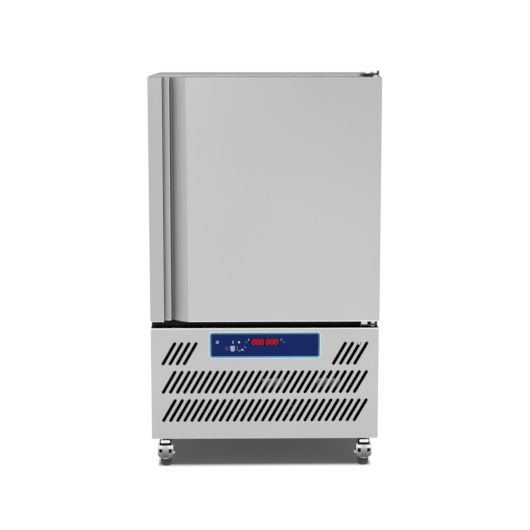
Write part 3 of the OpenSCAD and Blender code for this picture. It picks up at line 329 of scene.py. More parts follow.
def rounded_rect(w, h, r, n=6, cx=0.0, cy=0.0):
    out = []
    for k, (sx, sy) in enumerate(((1, 1), (-1, 1), (-1, -1), (1, -1))):
        out += arc(cx + sx * (w / 2 - r), cy + sy * (h / 2 - r), r, 90 * k, 90 * k + 90, n)
    return out


def stadium(length, w, lean=0.0, n=6, cx=0.0, cy=0.0, grow=0.0):
    """An upright slot with round ends, leaning to the right by lean degrees, its outline moved out by grow."""
    half = (length - w) / 2
    flat = arc(0, half, w / 2 + grow, 0, 180, n) + arc(0, -half, w / 2 + grow, 180, 360, n)
    c, s = math.cos(math.radians(-lean)), math.sin(math.radians(-lean))
    return [(cx + x * c - y * s, cy + x * s + y * c) for x, y in flat]


def fillet(points, radii, n=4):
    """A closed outline with its corners rounded by the radii."""
    out = []
    for i, p in enumerate(points):
        p, before, after = Vector(p), Vector(points[i - 1]), Vector(points[(i + 1) % len(points)])
        if not radii[i]:
            out.append(tuple(p))
            continue
        d0, d1 = (before - p).normalized(), (after - p).normalized()
        half = d0.angle(d1) / 2
        cut = radii[i] / math.tan(half)
        middle = p + (d0 + d1).normalized() * (radii[i] / math.sin(half))
        a, b = p + d0 * cut - middle, p + d1 * cut - middle
        turn = a.angle_signed(b)
        for k in range(n + 1):
            angle = -turn * k / n
            c, s = math.cos(angle), math.sin(angle)
            out.append((middle.x + a.x * c - a.y * s, middle.y + a.x * s + a.y * c))
    return out


def bowed(a, b, r, n):
    """Points of an arc from a to b, bowed to the left of the way from b to a."""
    a, b = Vector(a), Vector(b)
    middle, half = (a + b) / 2, (b - a).length / 2
    across = Vector((a.y - b.y, b.x - a.x)) / (2 * half)
    centre = middle + across * math.sqrt(r * r - half * half)
    a0, a1 = (math.degrees(math.atan2(p.y - centre.y, p.x - centre.x)) for p in (a, b))
    return arc(centre.x, centre.y, r, a0, a1, n)


def area_sign(outline):
    total = sum(a[0] * b[1] - b[0] * a[1] for a, b in zip(outline, outline[1:] + outline[:1]))
    return 1 if total > 0 else -1


def inset(outline, by):
    """A closed outline moved inwards by a small distance."""
    sign, count, out = area_sign(outline), len(outline), []
    for i in range(count):
        p, before, after = (Vector(outline[j % count]) for j in (i, i - 1, i + 1))
        n0, n1 = ((q - r).normalized() for q, r in ((p, before), (after, p)))
        n0, n1 = Vector((-n0.y, n0.x)) * sign, Vector((-n1.y, n1.x)) * sign
        out.append(tuple(p + (n0 + n1) * (by / max(1 + n0.dot(n1), 0.4))))
    return out


class Piece:
    """Collects closed shells in millimetres, and turns them into one object."""

    def __init__(self):
        self.bm = bmesh.new()

    def take(self, part, paint=0, width=0.0, segments=2):
        """Adds a shell, with its edges rounded by a width. A paint of None keeps what its faces have."""
        if width:
            bevel(part, width, segments)
        if paint is not None:
            for face in part.faces:
                face.material_index = paint
        mesh = bpy.data.meshes.new("part")
        part.to_mesh(mesh)
        part.free()
        self.bm.from_mesh(mesh)
        bpy.data.meshes.remove(mesh)

    def box(self, lo, hi, width=0.0, paint=0, segments=2):
        part = bmesh.new()
        size = Vector(hi) - Vector(lo)
        move = Matrix.Translation((Vector(lo) + Vector(hi)) / 2)
        bmesh.ops.create_cube(part, size=1, matrix=move @ Matrix.Diagonal((*size, 1)))
        self.take(part, paint, width, segments)

    def loft(self, rings, paint=0, caps=True, closed=False, place=None, paints=None):
        """Skins rings of 3-D points in order; paints gives a paint for each band."""
        part = bmesh.new()
        loops = [[part.verts.new(p) for p in ring] for ring in rings]
        count = len(loops[0])
        pairs = list(zip(loops, loops[1:])) + ([(loops[-1], loops[0])] if closed else [])
        for k, (a, b) in enumerate(pairs):
            for i in range(count):
                j = (i + 1) % count
                face = part.faces.new((a[i], a[j], b[j], b[i]))
                face.material_index = paints[k] if paints else paint
        if caps and not closed:
            for loop, mark in ((loops[0], 0), (loops[-1], -1)):
                face = part.faces.new(loop)
                face.material_index = paints[mark] if paints else paint
        if place:
            bmesh.ops.transform(part, matrix=place, verts=part.verts)
        self.take(part, None)

    def lathe(self, profile, place=None, n=48, paint=0):
        """Turns a profile of (radius, height) about the place's Z axis."""
        self.loft([[(x, y, h) for x, y in circle(max(r, 0.01), n)] for r, h in profile], paint, place=place)

    def ring(self, profile, place=None, n=64, paint=0):
        """Turns a closed profile that stays off the axis."""
        self.loft([[(x, y, h) for x, y in circle(r, n)] for r, h in profile], paint, closed=True, place=place)

    def tube(self, points, r, n=12, paint=0, closed=False):
        """A round tube along a path."""
        path = [Vector(p) for p in points]
        count = len(path)
        rings, side = [], None
        for i, p in enumerate(path):
            before = path[i - 1] if i or closed else p
            after = path[(i + 1) % count] if i < count - 1 or closed else p
            along = (after - before).normalized()
            if side is None:
                side = along.orthogonal().normalized()
            side = (side - along * side.dot(along)).normalized()
            up = along.cross(side)
            rings.append([p + side * x + up * y for x, y in circle(r, n)])
        self.loft(rings, paint, closed=closed)

    def plate(self, outline, holes, levels, paint=0, place=None, fill_paint=None):
        """A plate drawn in X and Y. levels is a list of (height, inset); holes widen by the inset.
        A hole is its outline, or a function that gives it for a widening."""
        part = bmesh.new()
        loops = []
        for k, (height, by) in enumerate(levels):
            shapes = [inset(outline, by) if by else outline]
            shapes += [hole(by) if callable(hole) else hole for hole in holes]
            loops.append([[part.verts.new((x, y, height)) for x, y in shape] for shape in shapes])
        for low, high in zip(loops, loops[1:]):
            for a, b in zip(low, high):
                for i in range(len(a)):
                    j = (i + 1) % len(a)
                    part.faces.new((a[i], a[j], b[j], b[i]))
        for level in (loops[0], loops[-1]):
            edges = []
            for loop in level:
                for i in range(len(loop)):
                    pair = (loop[i], loop[(i + 1) % len(loop)])
                    edges.append(part.edges.get(pair) or part.edges.new(pair))
            made = bmesh.ops.triangle_fill(part, use_beauty=True, use_dissolve=False, edges=edges)
            for item in made["geom"]:
                if isinstance(item, bmesh.types.BMFace):
                    item.material_index = paint if fill_paint is None else fill_paint
        for face in part.faces:
            if fill_paint is None or face.material_index != fill_paint:
                face.material_index = paint
        if place:
            bmesh.ops.transform(part, matrix=place, verts=part.verts)
        self.take(part, None)

    def done(self, name, materials, body, slot, *replaced):
        bmesh.ops.scale(self.bm, vec=(MM,) * 3, verts=self.bm.verts)
        return object_from(self.bm, name, materials, body, replaced)


def at(x=0.0, y=0.0, z=0.0):
    return Matrix.Translation((x, y, z))


# a drawing in X and Z whose thickness runs along +Y, towards the back
UPRIGHT = Matrix(((1, 0, 0, 0), (0, 0, 1, 0), (0, 1, 0, 0), (0, 0, 0, 1)))
ALONG_Y = Matrix.Rotation(math.radians(-90), 4, "X")
ALONG_X = Matrix.Rotation(math.radians(90), 4, "Y")


def roll(height, r):
    """Levels of a plate of a height whose rims are rounded by r."""
    return [(0, r), (0.29 * r, 0.29 * r), (r, 0), (height - r, 0), (height - 0.29 * r, 0.29 * r), (height, r)]


# ---- door ------------------------------------------------------------------------------------------------

LEAF_TOP = Z_TOP - 4.5
# the leaf seen from above, from its left back corner: the handle strip, its step and lip, and the groove's floor
GRIP = [(0, 59), (0, 0), (49, 0), (49, 30), (73, 30), (73, 34), (55, 34), (55, 48), (82, 48)]
GRIP_RADII = [0.6, 2.2, 3.2, 4, 1.9, 1.9, 1, 1.5, 5]
flank = bowed((82, 48), (134, 0), 120, 10)
door_outline = fillet(GRIP + flank[1:] + [(2 * X_OUT, 0), (2 * X_OUT, 59)],
                      GRIP_RADII + [0] * (len(flank) - 1) + [2.4, 0.6], 6)
in_door = at(-X_OUT, Y_FRONT, Z_DOOR)
bush_hole = circle(10.1, 32, PIVOT_X + X_OUT, PIVOT_Y - Y_FRONT)

leaf = Piece()
# the leaf's top and bottom faces take the near-black caps that paint its shadow lines
leaf.plate(door_outline, [bush_hole], roll(LEAF_TOP - Z_DOOR, 0.8), 0, in_door, 2)
leaf.box((PIVOT_X - 42, Y_FRONT + 5, Z_DOOR - 11.5), (PIVOT_X - 20, PIVOT_Y + 5, Z_DOOR + 0.5), 1.2, 1)
door_shell = leaf.done("door_shell", [looks["steel_door"], looks["steel_zinc"], shadow_line_cap, groove_shade_steel], "door",
                       "steel_door", "door_skin", "door_handle", "door_end_plates")

# the groove takes the darker copy of the steel with painted shade, from its lip to its flank's end, and on the
# deep floor behind the lip too
LIP_X, DEEP_X, FLANK_X, GROOVE_PAINT = 73.2 - X_OUT, 60 - X_OUT, 133.5 - X_OUT, 3
for face in door_shell.data.polygons:
    x, y, _ = face.center / MM
    depth = y - Y_FRONT
    from_x = DEEP_X if depth > 40 else LIP_X
    if from_x < x < FLANK_X and 0.3 < depth < 53 and abs(face.normal.z) < 0.5:
        face.material_index = GROOVE_PAINT

# the foam follows the skin from inside, a little clear of it
FOAM = [(1.3, 57.6), (1.3, 1.3), (47.7, 1.3), (47.7, 31.3), (53.7, 31.3), (53.7, 49.3), (84, 49.3),
        (134.5, 1.4), (808.7, 1.4), (808.7, 57.6)]
foam = Piece()
foam_hole = circle(10.2, 32, PIVOT_X + X_OUT, PIVOT_Y - Y_FRONT)
foam.plate(FOAM, [foam_hole], roll(LEAF_TOP - Z_DOOR - 2.8, 0.5), 0, at(0, 0, 1.4) @ in_door)
foam.done("door_foam", [looks["foam"]], "door", "foam", "door_core")

pan_w, pan_h, pan_z = 2 * X_OUT - 2 * SHEET, LEAF_TOP - Z_DOOR - 2 * SHEET, (LEAF_TOP + Z_DOOR) / 2
# inset, height over the leaf's back and corner radius
PAN_RINGS = [(0, -1.2, 2), (0, -0.3, 2), (0.3, 0, 2), (60, 0, 6), (62, 0.4, 8), (70, 2.6, 14), (72, 3, 16)]
pan = Piece()
pan.loft([[(x, Y_LEAF_BACK + lift, z) for x, z in rounded_rect(pan_w - 2 * by, pan_h - 2 * by, r, 6, 0, pan_z)]
          for by, lift, r in PAN_RINGS])
pan.done("door_pan", [looks["steel_liner"]], "door", "steel_liner", "door_inner_pan")

SEAL = [(0, 0), (22, 0), (22, 3), (21, 4), (17, 4), (18.4, 5.3), (17, 6.6), (18.4, 7.9), (17, 9.2), (18, 10.4),
        (20, 11), (20.3, 13), (19.4, 14.3), (17, 14.7), (5, 14.7), (2.6, 14.3), (1.7, 13), (2, 11), (4, 10.4),
        (5, 9.2), (3.6, 7.9), (5, 6.6), (3.6, 5.3), (5, 4), (1, 4), (0, 3)]
seal_x, seal_low, seal_high = X_OUT - 25, Z_DOOR + 25, Z_TOP - 25
seal = Piece()
seal.loft([[(sx * (seal_x - d), Y_LEAF_BACK + y, (seal_high - d) if up else (seal_low + d))
            for sx, up in ((-1, 0), (1, 0), (1, 1), (-1, 1))] for d, y in SEAL], closed=True)
seal.done("door_seal", [looks["gasket_rubber"]], "door", "gasket_rubber", "door_gasket")
refined("hinge_bushes", 0.5)

# ---- cabinet ---------------------------------------------------------------------------------------------

casing = refined("outer_casing", 0.35, 1, lambda p: abs(p.x) > X_OUT - 0.1 and p.z > Z_TOP - 0.1, 1.1)
# the casing's top faces take the dark copy of the steel with its painted shade
casing.data.materials.append(top_shade_steel)
for face in casing.data.polygons:
    if face.normal.z > 0.9 and face.center.z > (Z_TOP - 0.1) * MM:
        face.material_index = 1
refined("rear_panel", 0.4)
refined("rear_grille", 0.3)
# the front frame takes the steel with the painted gap shadow and highlight
refined("front_frame", 0.6).data.materials[0] = frame_steel
refined("base_pan", 0.5)

# the ledge between door and panel, with an upright leg that covers the frame's lower edge
LEDGE = [(-388.6, 519), (-330.2, 519), (-330.2, 549.4), (-334.4, 549.4), (-334.4, 524), (-388.6, 524)]
ledge_end = -X_OUT + SHEET + 0.2
drawn_across = Matrix(((0, 0, 1, ledge_end), (1, 0, 0, 0), (0, 1, 0, 0), (0, 0, 0, 1)))
ledge = Piece()
ledge.plate(fillet(LEDGE, [1.2, 0.4, 0.6, 1.2, 1.6, 1.2]), [], roll(-2 * ledge_end, 0.5), 0, drawn_across)
ledge.box((-X_OUT + 1.4, -334, 494), (X_OUT - 1.4, -330.2, 519.4), 0.6)
ledge.done("ledge_cover", [looks["ledge_black"]], "cabinet", "black_plastic", "ledge_trim")

liner = bmesh.new()
bmesh.ops.create_cube(liner, size=1, matrix=at(0, (Y_FACE + 3 + Y_CAV_BACK) / 2, (Z_CAV_LOW + Z_CAV_HIGH) / 2)
                      @ Matrix.Diagonal((2 * X_IN, Y_CAV_BACK - Y_FACE - 3, Z_CAV_HIGH - Z_CAV_LOW, 1)))
bmesh.ops.delete(liner, geom=[f for f in liner.faces if f.normal.y < -0.9], context="FACES_ONLY")
bevel(liner, 12, 5)
bmesh.ops.scale(liner, vec=(MM,) * 3, verts=liner.verts)
bmesh.ops.recalc_face_normals(liner, faces=liner.faces)
liner_piece = object_from(liner, "chamber_liner", [looks["steel_liner"]], "cabinet",
                          ["cavity_liner"])
wall = liner_piece.modifiers.new("wall", "SOLIDIFY")
wall.thickness = SHEET * MM
wall.offset = 1
liner_piece.modifiers.move(1, 0)

STUD = [(0, 0), (3, 0), (4, 1), (4, 35), (7, 35.5), (7, 36)]
STUD_X, STUD_Y, STUD_Z = 309.9, (-272, 56), (686, 1260)
studs = Piece()
for side in (-1, 1):
    outward = Matrix.Rotation(math.radians(side * 90), 4, "Y")
    for y in STUD_Y:
        for z in STUD_Z:
            studs.lathe(STUD, at(side * STUD_X, y, z) @ outward, 20)
studs.done("rack_studs", [looks["steel_liner"]], "cabinet", "steel_liner")

RIVET = [(3.4, -0.3), (3.4, 0.1), (2.8, 0.4), (1.6, 0.56), (0, 0.6)]
RIVET_X = 392
rivets = Piece()
spots = [(side * RIVET_X, 560 + 104 * i) for side in (-1, 1) for i in range(9)]
spots += [(-RIVET_X + 112 * i, z) for z in (1400, 556) for i in range(1, 7)]
for x, z in spots:
    rivets.lathe(RIVET, at(x, Y_BACK, z) @ ALONG_Y, 16)
rivets.done("rear_rivets", [looks["steel_zinc"]], "cabinet", "steel_zinc")

# ---- louvred panel ---------------------------------------------------------------------------------------

SLOT_W, SLOT_RISE, SLOT_LEAN, SLOT_PITCH, SLOT_COUNT = 11.6, 84.6, 30, 25.3, 28
slot_len = (SLOT_RISE - SLOT_W) / math.cos(math.radians(SLOT_LEAN)) + SLOT_W
SLOT_TOP_ROW, SLOT_ROW_PITCH, SLOT_BESIDE = Z_PANEL_TOP - 92.3, 103.6, 4
slot_spots = []
for row in range(3):
    for i in range(SLOT_COUNT):
        if row or i < SLOT_BESIDE or i >= SLOT_COUNT - SLOT_BESIDE:
            slot_spots.append(((i - (SLOT_COUNT - 1) / 2) * SLOT_PITCH, SLOT_TOP_ROW - row * SLOT_ROW_PITCH))
slot_holes = [lambda grow, x=x, z=z: stadium(slot_len, SLOT_W, SLOT_LEAN, 6, x, z, grow) for x, z in slot_spots]
fascia_hole = rounded_rect(376, 81, 2, 3, 0, FASCIA_Z)
panel_mid = (Z_PANEL_TOP + Z_PANEL_LOW) / 2
louvres = Piece()
# the plate's rims and slot walls take the painted highlight steel, its front and back the panel's steel
louvres.plate(rounded_rect(2 * X_OUT, Z_PANEL_TOP - Z_PANEL_LOW, 2, 4, 0, panel_mid),
              slot_holes + [fascia_hole],
              [(0, 1.1), (0.4, 0.4), (0.9, 0), (SHEET, 0)], 1, at(0, Y_PANEL) @ UPRIGHT, 0)
for side in (-1, 1):
    x = side * (X_OUT - SHEET / 2)
    louvres.box((x - 0.6, Y_PANEL + 0.9, Z_PANEL_LOW + 1), (x + 0.6, Y_FACE, Z_PANEL_TOP), 0.3)
louvres.box((-X_OUT + 2, Y_PANEL + 0.9, Z_PANEL_LOW), (X_OUT - 2, Y_PANEL + 20, Z_PANEL_LOW + SHEET), 0.4)
louvres.done("louvred_panel", [steel_panel, highlight_edge_steel], "cabinet", "steel_outer", "front_panel")

# ---- control fascia --------------------------------------------------------------------------------------

FASCIA_R, FIELD_INSET = 13, 11.4
FIELD_Y, CAP_Y, LENS_Y = -392.7, -392.9, -392.6


def fascia_outline(by):
    """The fascia's outline, moved in by some mm."""
    return rounded_rect(FASCIA_W - 2 * by, FASCIA_H - 2 * by, FASCIA_R - by, 8, 0, FASCIA_Z)


# the fascia's rim, outside in: a pale band that paints its edge highlight, the teal bevel with its painted
# light, and the navy inner edge
RIM = [(0, Y_PANEL), (0, -392.8), (0.6, -393.4), (2.6, -393.5), (8.4, -392.85), (8.8, FIELD_Y),
       (FIELD_INSET, FIELD_Y)]
fascia = Piece()
fascia.loft([[(x, y, z) for x, z in fascia_outline(by)] for by, y in RIM], caps=False,
            paints=[0, 0, 0, 1, 2, 2])
key_holes = [circle(KEY_R + 0.3, 32, x, FASCIA_Z + z) for x, z in KEY_SPOTS.values()]
window_hole = rounded_rect(WINDOW_W, WINDOW_H, 1.5, 3, WINDOW_X, WINDOW_Z)
fascia.plate(fascia_outline(FIELD_INSET), key_holes + [window_hole], [(0, 0), (2.7, 0)], 3,
             at(0, FIELD_Y) @ UPRIGHT)
fascia.done("fascia_panel", [pale_rim_highlight, rim_teal, rim_navy, looks["fascia_blue"]], "cabinet", "fascia_blue",
            "control_fascia")


def thin(piece, outline, x, z, y, paint=0):
    """A printed mark, drawn about (0, 0), on a surface at y."""
    piece.plate(outline, [], [(-0.07, 0), (0.05, 0)], paint, at(x, y, z) @ UPRIGHT)


def half_ring(r, w, a0, a1, n=20):
    return arc(0, 0, r + w / 2, a0, a1, n) + arc(0, 0, r - w / 2, a1, a0, n)


def bar(w, h, x=0.0, z=0.0, r=0.3):
    return rounded_rect(w, h, min(r, w / 2 - 0.01, h / 2 - 0.01), 2, x, z)


# a digit's bars: place across and up from its middle, and whether the bar lies flat
SEGMENTS = [(0, 1, 1), (1, 0.5, 0), (1, -0.5, 0), (0, -1, 1), (-1, -0.5, 0), (-1, 0.5, 0), (0, 0, 1)]
lens = Piece()
lens.plate(rounded_rect(WINDOW_W - 0.2, WINDOW_H - 0.2, 1.4, 3, WINDOW_X, WINDOW_Z), [],
           [(0, 0.3), (0.3, 0), (2.6, 0)], 0, at(0, LENS_Y) @ UPRIGHT)
lens.box((WINDOW_X - 55, Y_PANEL, WINDOW_Z - 16.5), (WINDOW_X + 55, Y_PANEL + 1, WINDOW_Z + 16.5), 0.3)
for side in (-1, 1):
    for k in (-1, 0, 1):
        cx = side * 25.3 + k * 14.9
        for sx, sz, flat in SEGMENTS:
            length, x, z = (7.6, 0.0, sz * 9.2) if flat else (7.4, sx * 5.1, sz * 9.2)
            end, edge = length / 2, 1.25
            pointed = [(-end, 0), (-end + edge, -edge), (end - edge, -edge), (end, 0), (end - edge, edge),
                       (-end + edge, edge)]
            if not flat:
                pointed = [(b, -a) for a, b in pointed]
            thin(lens, [(a + x + 0.1 * (b + z), b + z) for a, b in pointed], cx, FASCIA_Z + 12.5, LENS_Y, 1)
lens.done("display_window", [looks["display_red"], lamp_red], "cabinet", "display_red", "display_lens")

print_pale = finish("print_pale", (0.5, 0.54, 0.7), 0.4, 0.0, 0.05, 400, 60)
marks = Piece()
thin(marks, bar(5, 6.5, r=2.4), -66.1, FASCIA_Z + 11.7, FIELD_Y, 1)
for x, z in ((-57.6, 20.6), (57.6, 20.4)):
    thin(marks, bar(2.4, 5.4, r=1), x, FASCIA_Z + z, FIELD_Y, 0)
thin(marks, bar(5.5, 6.5, r=2.6), 67.6, FASCIA_Z + 11.7, FIELD_Y, 2)
thin(marks, half_ring(5, 1.6, 20, 160), -136, FASCIA_Z - 12, FIELD_Y, 3)
thin(marks, half_ring(5, 1.6, 200, 340), -136, FASCIA_Z - 10.5, FIELD_Y, 3)
for i in range(4):
    thin(marks, bar(15, 2.4), -115, FASCIA_Z - 3.6 - 4 * i, FIELD_Y, 0 if i > 1 else 4)
thin(marks, bar(11, 3.4), -115, FASCIA_Z - 19.2, FIELD_Y, 0)
thin(marks, bar(2.2, 12), -98.6, FASCIA_Z - 9, FIELD_Y, 3)
thin(marks, circle(2.6, 16), -98.6, FASCIA_Z - 15.5, FIELD_Y, 3)
thin(marks, circle(1.5, 12), -91.8, FASCIA_Z - 19.8, FIELD_Y, 4)
thin(marks, circle(1.5, 12), -70.4, FASCIA_Z - 7.6, FIELD_Y, 4)
marks.done("fascia_marks", [looks["key_white"], print_blue, print_plum, print_grey, print_pale], "cabinet",
           "key_white")

CARET = [(-6, -3.4), (-4.2, -4.6), (0, -0.6), (4.2, -4.6), (6, -3.4), (0, 3)]
ICONS = {
    "power": [half_ring(4.2, 1.9, 125, 415, 28), bar(2, 5.5, 0, 3.6)],
    "select": [half_ring(4.4, 2.2, -70, 70, 16)],
    "mode": [bar(6.4, 7.4, r=3)],
    "start": [CARET],
}
for name, (x, z) in KEY_SPOTS.items():
    cap = Piece()
    cap.lathe([(0, 0), (KEY_R - 0.5, 0), (KEY_R - 0.12, 0.12), (KEY_R, 0.5), (KEY_R, 3.2), (KEY_R + 1.5, 3.2),
               (KEY_R + 1.5, 4.7), (0, 4.7)], at(x, CAP_Y, FASCIA_Z + z) @ ALONG_Y, 40)
    cap.done("key_cap_" + name, [looks["fascia_blue"]], "key_" + name, "fascia_blue", "key_" + name)
    icon = Piece()
    for outline in ICONS[name]:
        thin(icon, outline, x, FASCIA_Z + z, CAP_Y)
    icon.done("key_icon_" + name, [looks["key_white"]], "key_" + name, "key_white")
refined("control_board", 0.3)

# ---- machine compartment ---------------------------------------------------------------------------------

SHELL = [(0, 0), (60, 0), (78, 3), (88, 9), (94, 18), (98, 40), (100, 60), (100, 103), (104, 103.6),
         (104, 114.4), (100, 115), (100, 150), (98, 176), (92, 198), (84, 210), (72, 219), (56, 226),
         (36, 229.5), (0, 230)]
compressor = Piece()
compressor.lathe(SHELL, at(COMP_X, COMP_Y, COMP_Z), 72)
compressor.box((COMP_X - 110, COMP_Y - 95, COMP_Z - 4), (COMP_X + 110, COMP_Y + 95, COMP_Z), 1.2)
compressor.box((COMP_X - 34, COMP_Y + 85, COMP_Z + 70), (COMP_X + 34, COMP_Y + 132, COMP_Z + 150), 5, 1, 3)
for x, r in ((30, 7), (-30, 10)):
    compressor.lathe([(r, 222), (r, 243), (r - 1, 244), (0, 244)], at(COMP_X + x, COMP_Y, COMP_Z), 24, 2)
compressor.done("compressor_shell", [looks["black_paint"], looks["black_plastic"], looks["copper_pipe"]],
                "cabinet", "black_paint", "compressor")


def coil(x0, x1, y0, depth, low, high, pitch, end_low, end_high, bends, bend_y, bend_z, bend_pitch, bend_r,
         tube_paint):
    """A finned coil: fins across X, tubes with return bends, end plates."""
    body = Piece()
    count = int((x1 - x0 - 8) / pitch)
    for i in range(count):
        x = x0 + 4 + (i + 0.5) * (x1 - x0 - 8) / count
        body.box((x - 0.15, y0 + 1, low), (x + 0.15, y0 + depth - 1, high), 0, 0)
    rows = int((high - low) // 25)
    for i in range(rows):
        z = low + 12.5 + (high - low - 25) * i / (rows - 1)
        for y in (y0 + depth * 0.3, y0 + depth * 0.7):
            body.tube([(x0 + 1, y, z), (x1 - 1, y, z)], 4.6, 10, tube_paint)
    for x in (x0, x1 - 2):
        body.box((x, y0, end_low), (x + 2, y0 + depth, end_high), 0.5, 1)
    for i in range(bends):
        z = bend_z + i * bend_pitch
        body.tube([(x1 + 12 * math.sin(a), bend_y, z - 12 * math.cos(a))
                   for a in (math.pi * k / 12 for k in range(13))], bend_r, 12, tube_paint)
    return body


# the condenser's fins, tubes and bends take the near black that paints the compartment's shade
condenser = coil(x0=-70, x1=350, y0=-320, depth=60, low=138, high=456, pitch=3.2, end_low=130, end_high=460,
                 bends=6, bend_y=-300, bend_z=170, bend_pitch=50, bend_r=4, tube_paint=0)
for z in (430, 170):
    condenser.tube([(-90, -280, z), (-69, -280, z)], 7, 16, 0)
# clips on the coil's front: the angle of their bow in half turns and the height, on their front and their back
CLIP_FRONT = ((0.05, 326), (0.35, 325), (0.5, 321), (0.45, 312), (0.3, 302), (0.05, 293))
CLIP_BACK = ((0.05, 294), (0.3, 303), (0.45, 312), (0.48, 320), (0.33, 324), (0.05, 325))
# the clips carry a painted glint along their top edge
for ends in ((-9, 70), (188, 272)):
    section = [(-321.5 - 5 * math.sin(math.pi * bow), z) for bow, z in CLIP_FRONT]
    section += [(-320.4 - 4.6 * math.sin(math.pi * bow), z) for bow, z in CLIP_BACK]
    condenser.loft([[(x, y, z) for y, z in section] for x in ends], 3)
condenser.done("condenser_core", [compartment_shade_black, looks["black_paint"], looks["copper_pipe"], clip_glint_grey],
               "cabinet", "aluminium_fins", "condenser_coil")

# a near-black sheet around the condenser behind the slots, put there to paint the compartment's shade
shade_sheet_piece = Piece()
shade_sheet_piece.box((-402, -252, 131), (-71, -249, 545), 0.8)
shade_sheet_piece.box((-71, -252, 462), (402, -249, 545), 0.8)
shade_sheet_piece.box((351, -252, 131), (402, -249, 462), 0.8)
shade_sheet_piece.done("compartment_shade_sheet", [compartment_shade_black], "cabinet", "black_plastic")

brackets = Piece()
brackets.box((-353, -384, 452), (-341, -382.8, 474), 0.4)
brackets.box((-353, -384, 470), (-341, -370, 471.2), 0.4)
brackets.box((333, -384, 462), (341, -382.8, 492), 0.4)
brackets.box((333, -384, 490.8), (341, -370, 492), 0.4)
brackets.done("panel_brackets", [looks["steel_zinc"]], "cabinet", "steel_zinc")


def fan(name, centre, y0, y1, r, shaft_end, blades=5):
    """An axial fan about the Y axis, with cambered, twisted blades."""
    piece = Piece()
    hub = r * 0.28
    middle = (y0 + y1) / 2
    place = at(*centre)
    piece.lathe([(0, y0), (hub - 7, y0), (hub - 2, y0 + 1.5), (hub, y0 + 6), (hub, y1 - 1), (hub - 1, y1),
                 (5, y1), (5, shaft_end - 1), (4, shaft_end), (0, shaft_end)], place @ ALONG_Y, 48, 1)
    steps, across = 7, 8
    for b in range(blades):
        sheets = []
        for lift in (-0.7, 0.7):
            rows = []
            for i in range(steps + 1):
                u = i / steps
                rho = hub - 2 + (r - 1 - hub + 2) * u
                chord = r * (0.5 + 0.16 * math.sin(math.pi * min(u + 0.15, 1) / 1.3)) * (1 - 0.22 * u ** 6)
                pitch = math.radians(34 - 13 * u)
                row = []
                for k in range(across + 1):
                    t = k / across - 0.5
                    a = 2 * math.pi * b / blades + t * chord * math.cos(pitch) / rho + 0.16 * u * u
                    y = middle - t * chord * math.sin(pitch) + 2.4 * (1 - 4 * t * t) + lift
                    y = min(max(y, y0 + 0.3), y1 - 0.3)
                    row.append((rho * math.cos(a), y, rho * math.sin(a)))
                rows.append(row)
            sheets.append(rows)
        front, back = sheets
        piece.loft([f + bk[::-1] for f, bk in zip(front, back)], 0, True, False, place)
    piece.done(name + "_blades", [looks["aluminium_fins"], looks["black_plastic"]], name, "aluminium_fins",
               name)


fan("condenser_fan", (140, -236, 300), 2, 34, 140, 66)
for level, z in FAN_HEIGHTS.items():
    fan("evaporator_fan_" + level, (0, FAN_PANEL_Y, z), 2, 30, 125, 60)

for node, width in (("compressor_mounts", 1.2), ("condenser_shroud", 0.5), ("condenser_motor", 1.0),
                    ("receiver", 0.4), ("filter_drier", 0.4), ("condensate_tray", 0.6), ("drain_pipe", 0.4),
                    ("electrics_box", 1.6), ("mains_gland", 0.5), ("panel_screws", 0.5)):
    refined(node, width)

# ---- chamber ---------------------------------------------------------------------------------------------

evaporator = coil(x0=-260, x1=260, y0=228, depth=88, low=680, high=1292, pitch=5.2, end_low=666, end_high=1352,
                  bends=9, bend_y=258, bend_z=720, bend_pitch=55, bend_r=5, tube_paint=2)
evaporator.tube([(259, 303, 1232), (280, 303, 1232)], 10, 20, 2)
evaporator.done("evaporator_core", [looks["aluminium_fins"], looks["galvanised"], looks["copper_pipe"]],
                "cabinet", "aluminium_fins", "evaporator_coil")

guards = Piece()
for z in FAN_HEIGHTS.values():
    for i in range(10):
        guards.tube([(x, 117.4, z + up) for x, up in circle(125 - 11.5 * i, 64)], 1.3, 8, 0, True)
    for a in (45, 135, 225, 315):
        c, s = math.cos(math.radians(a)), math.sin(math.radians(a))
        guards.tube([(c * r, y, z + s * r) for r, y in ((8, 120), (128, 120), (136, 120.6), (140, 123),
                                                        (141, 128.7))], 1.9, 10)
    guards.lathe([(0, 0), (10, 0), (12, 1.5), (12, 4), (0, 4)], at(0, 114.2, z) @ ALONG_Y, 32)
guards.done("fan_guard_wires", [looks["steel_zinc"]], "cabinet", "steel_zinc", "fan_guards")

for node, width in (("fan_panel", 0.4), ("evaporator_motors", 1.0), ("drip_tray", 0.4),
                    ("expansion_valve", 0.8), ("tray_racks", 0.35), ("probe_socket", 1.2),
                    ("hinge_brackets", 1.0), ("hinge_pins", 0.8)):
    refined(node, width)

# ---- castors ---------------------------------------------------------------------------------------------

refined("caster_plates", 0.7)
TYRE = [(37, -17), (39, -17.6), (43, -17.4), (46.4, -15.6), (48.6, -12.4), (49.6, -7), (50, 0), (49.6, 7),
        (48.6, 12.4), (46.4, 15.6), (43, 17.4), (39, 17.6), (37, 17)]
HUB = [(5.1, -20.2), (12.4, -20.2), (13, -19.6), (13.4, -8), (15, -7), (31, -7), (33, -9), (34, -15),
       (36.8, -16.8), (37.2, -15), (37.2, 15), (36.8, 16.8), (34, 15), (33, 9), (31, 7), (15, 7), (13.4, 8),
       (13, 19.6), (12.4, 20.2), (5.1, 20.2)]
# the foot plate's grid: shares of its half width, heights, and the cells left open for the two holes; below
# SHIELD_WAIST it narrows and its sides curl up
SHIELD_WAIST = 61
SHIELD_X = [-1, -0.91, -0.82, -0.63, -0.42, -0.2, 0, 0.2, 0.42, 0.63, 0.82, 0.91, 1]
SHIELD_Z = [90.6, 88, 85, 78, 73.5, 69, 64.5, 59, 54, 49.5, 46, 43.5, 41.4]
OPEN_ROWS, OPEN_COLUMNS = (3, 4, 5), (2, 3, 8, 9)
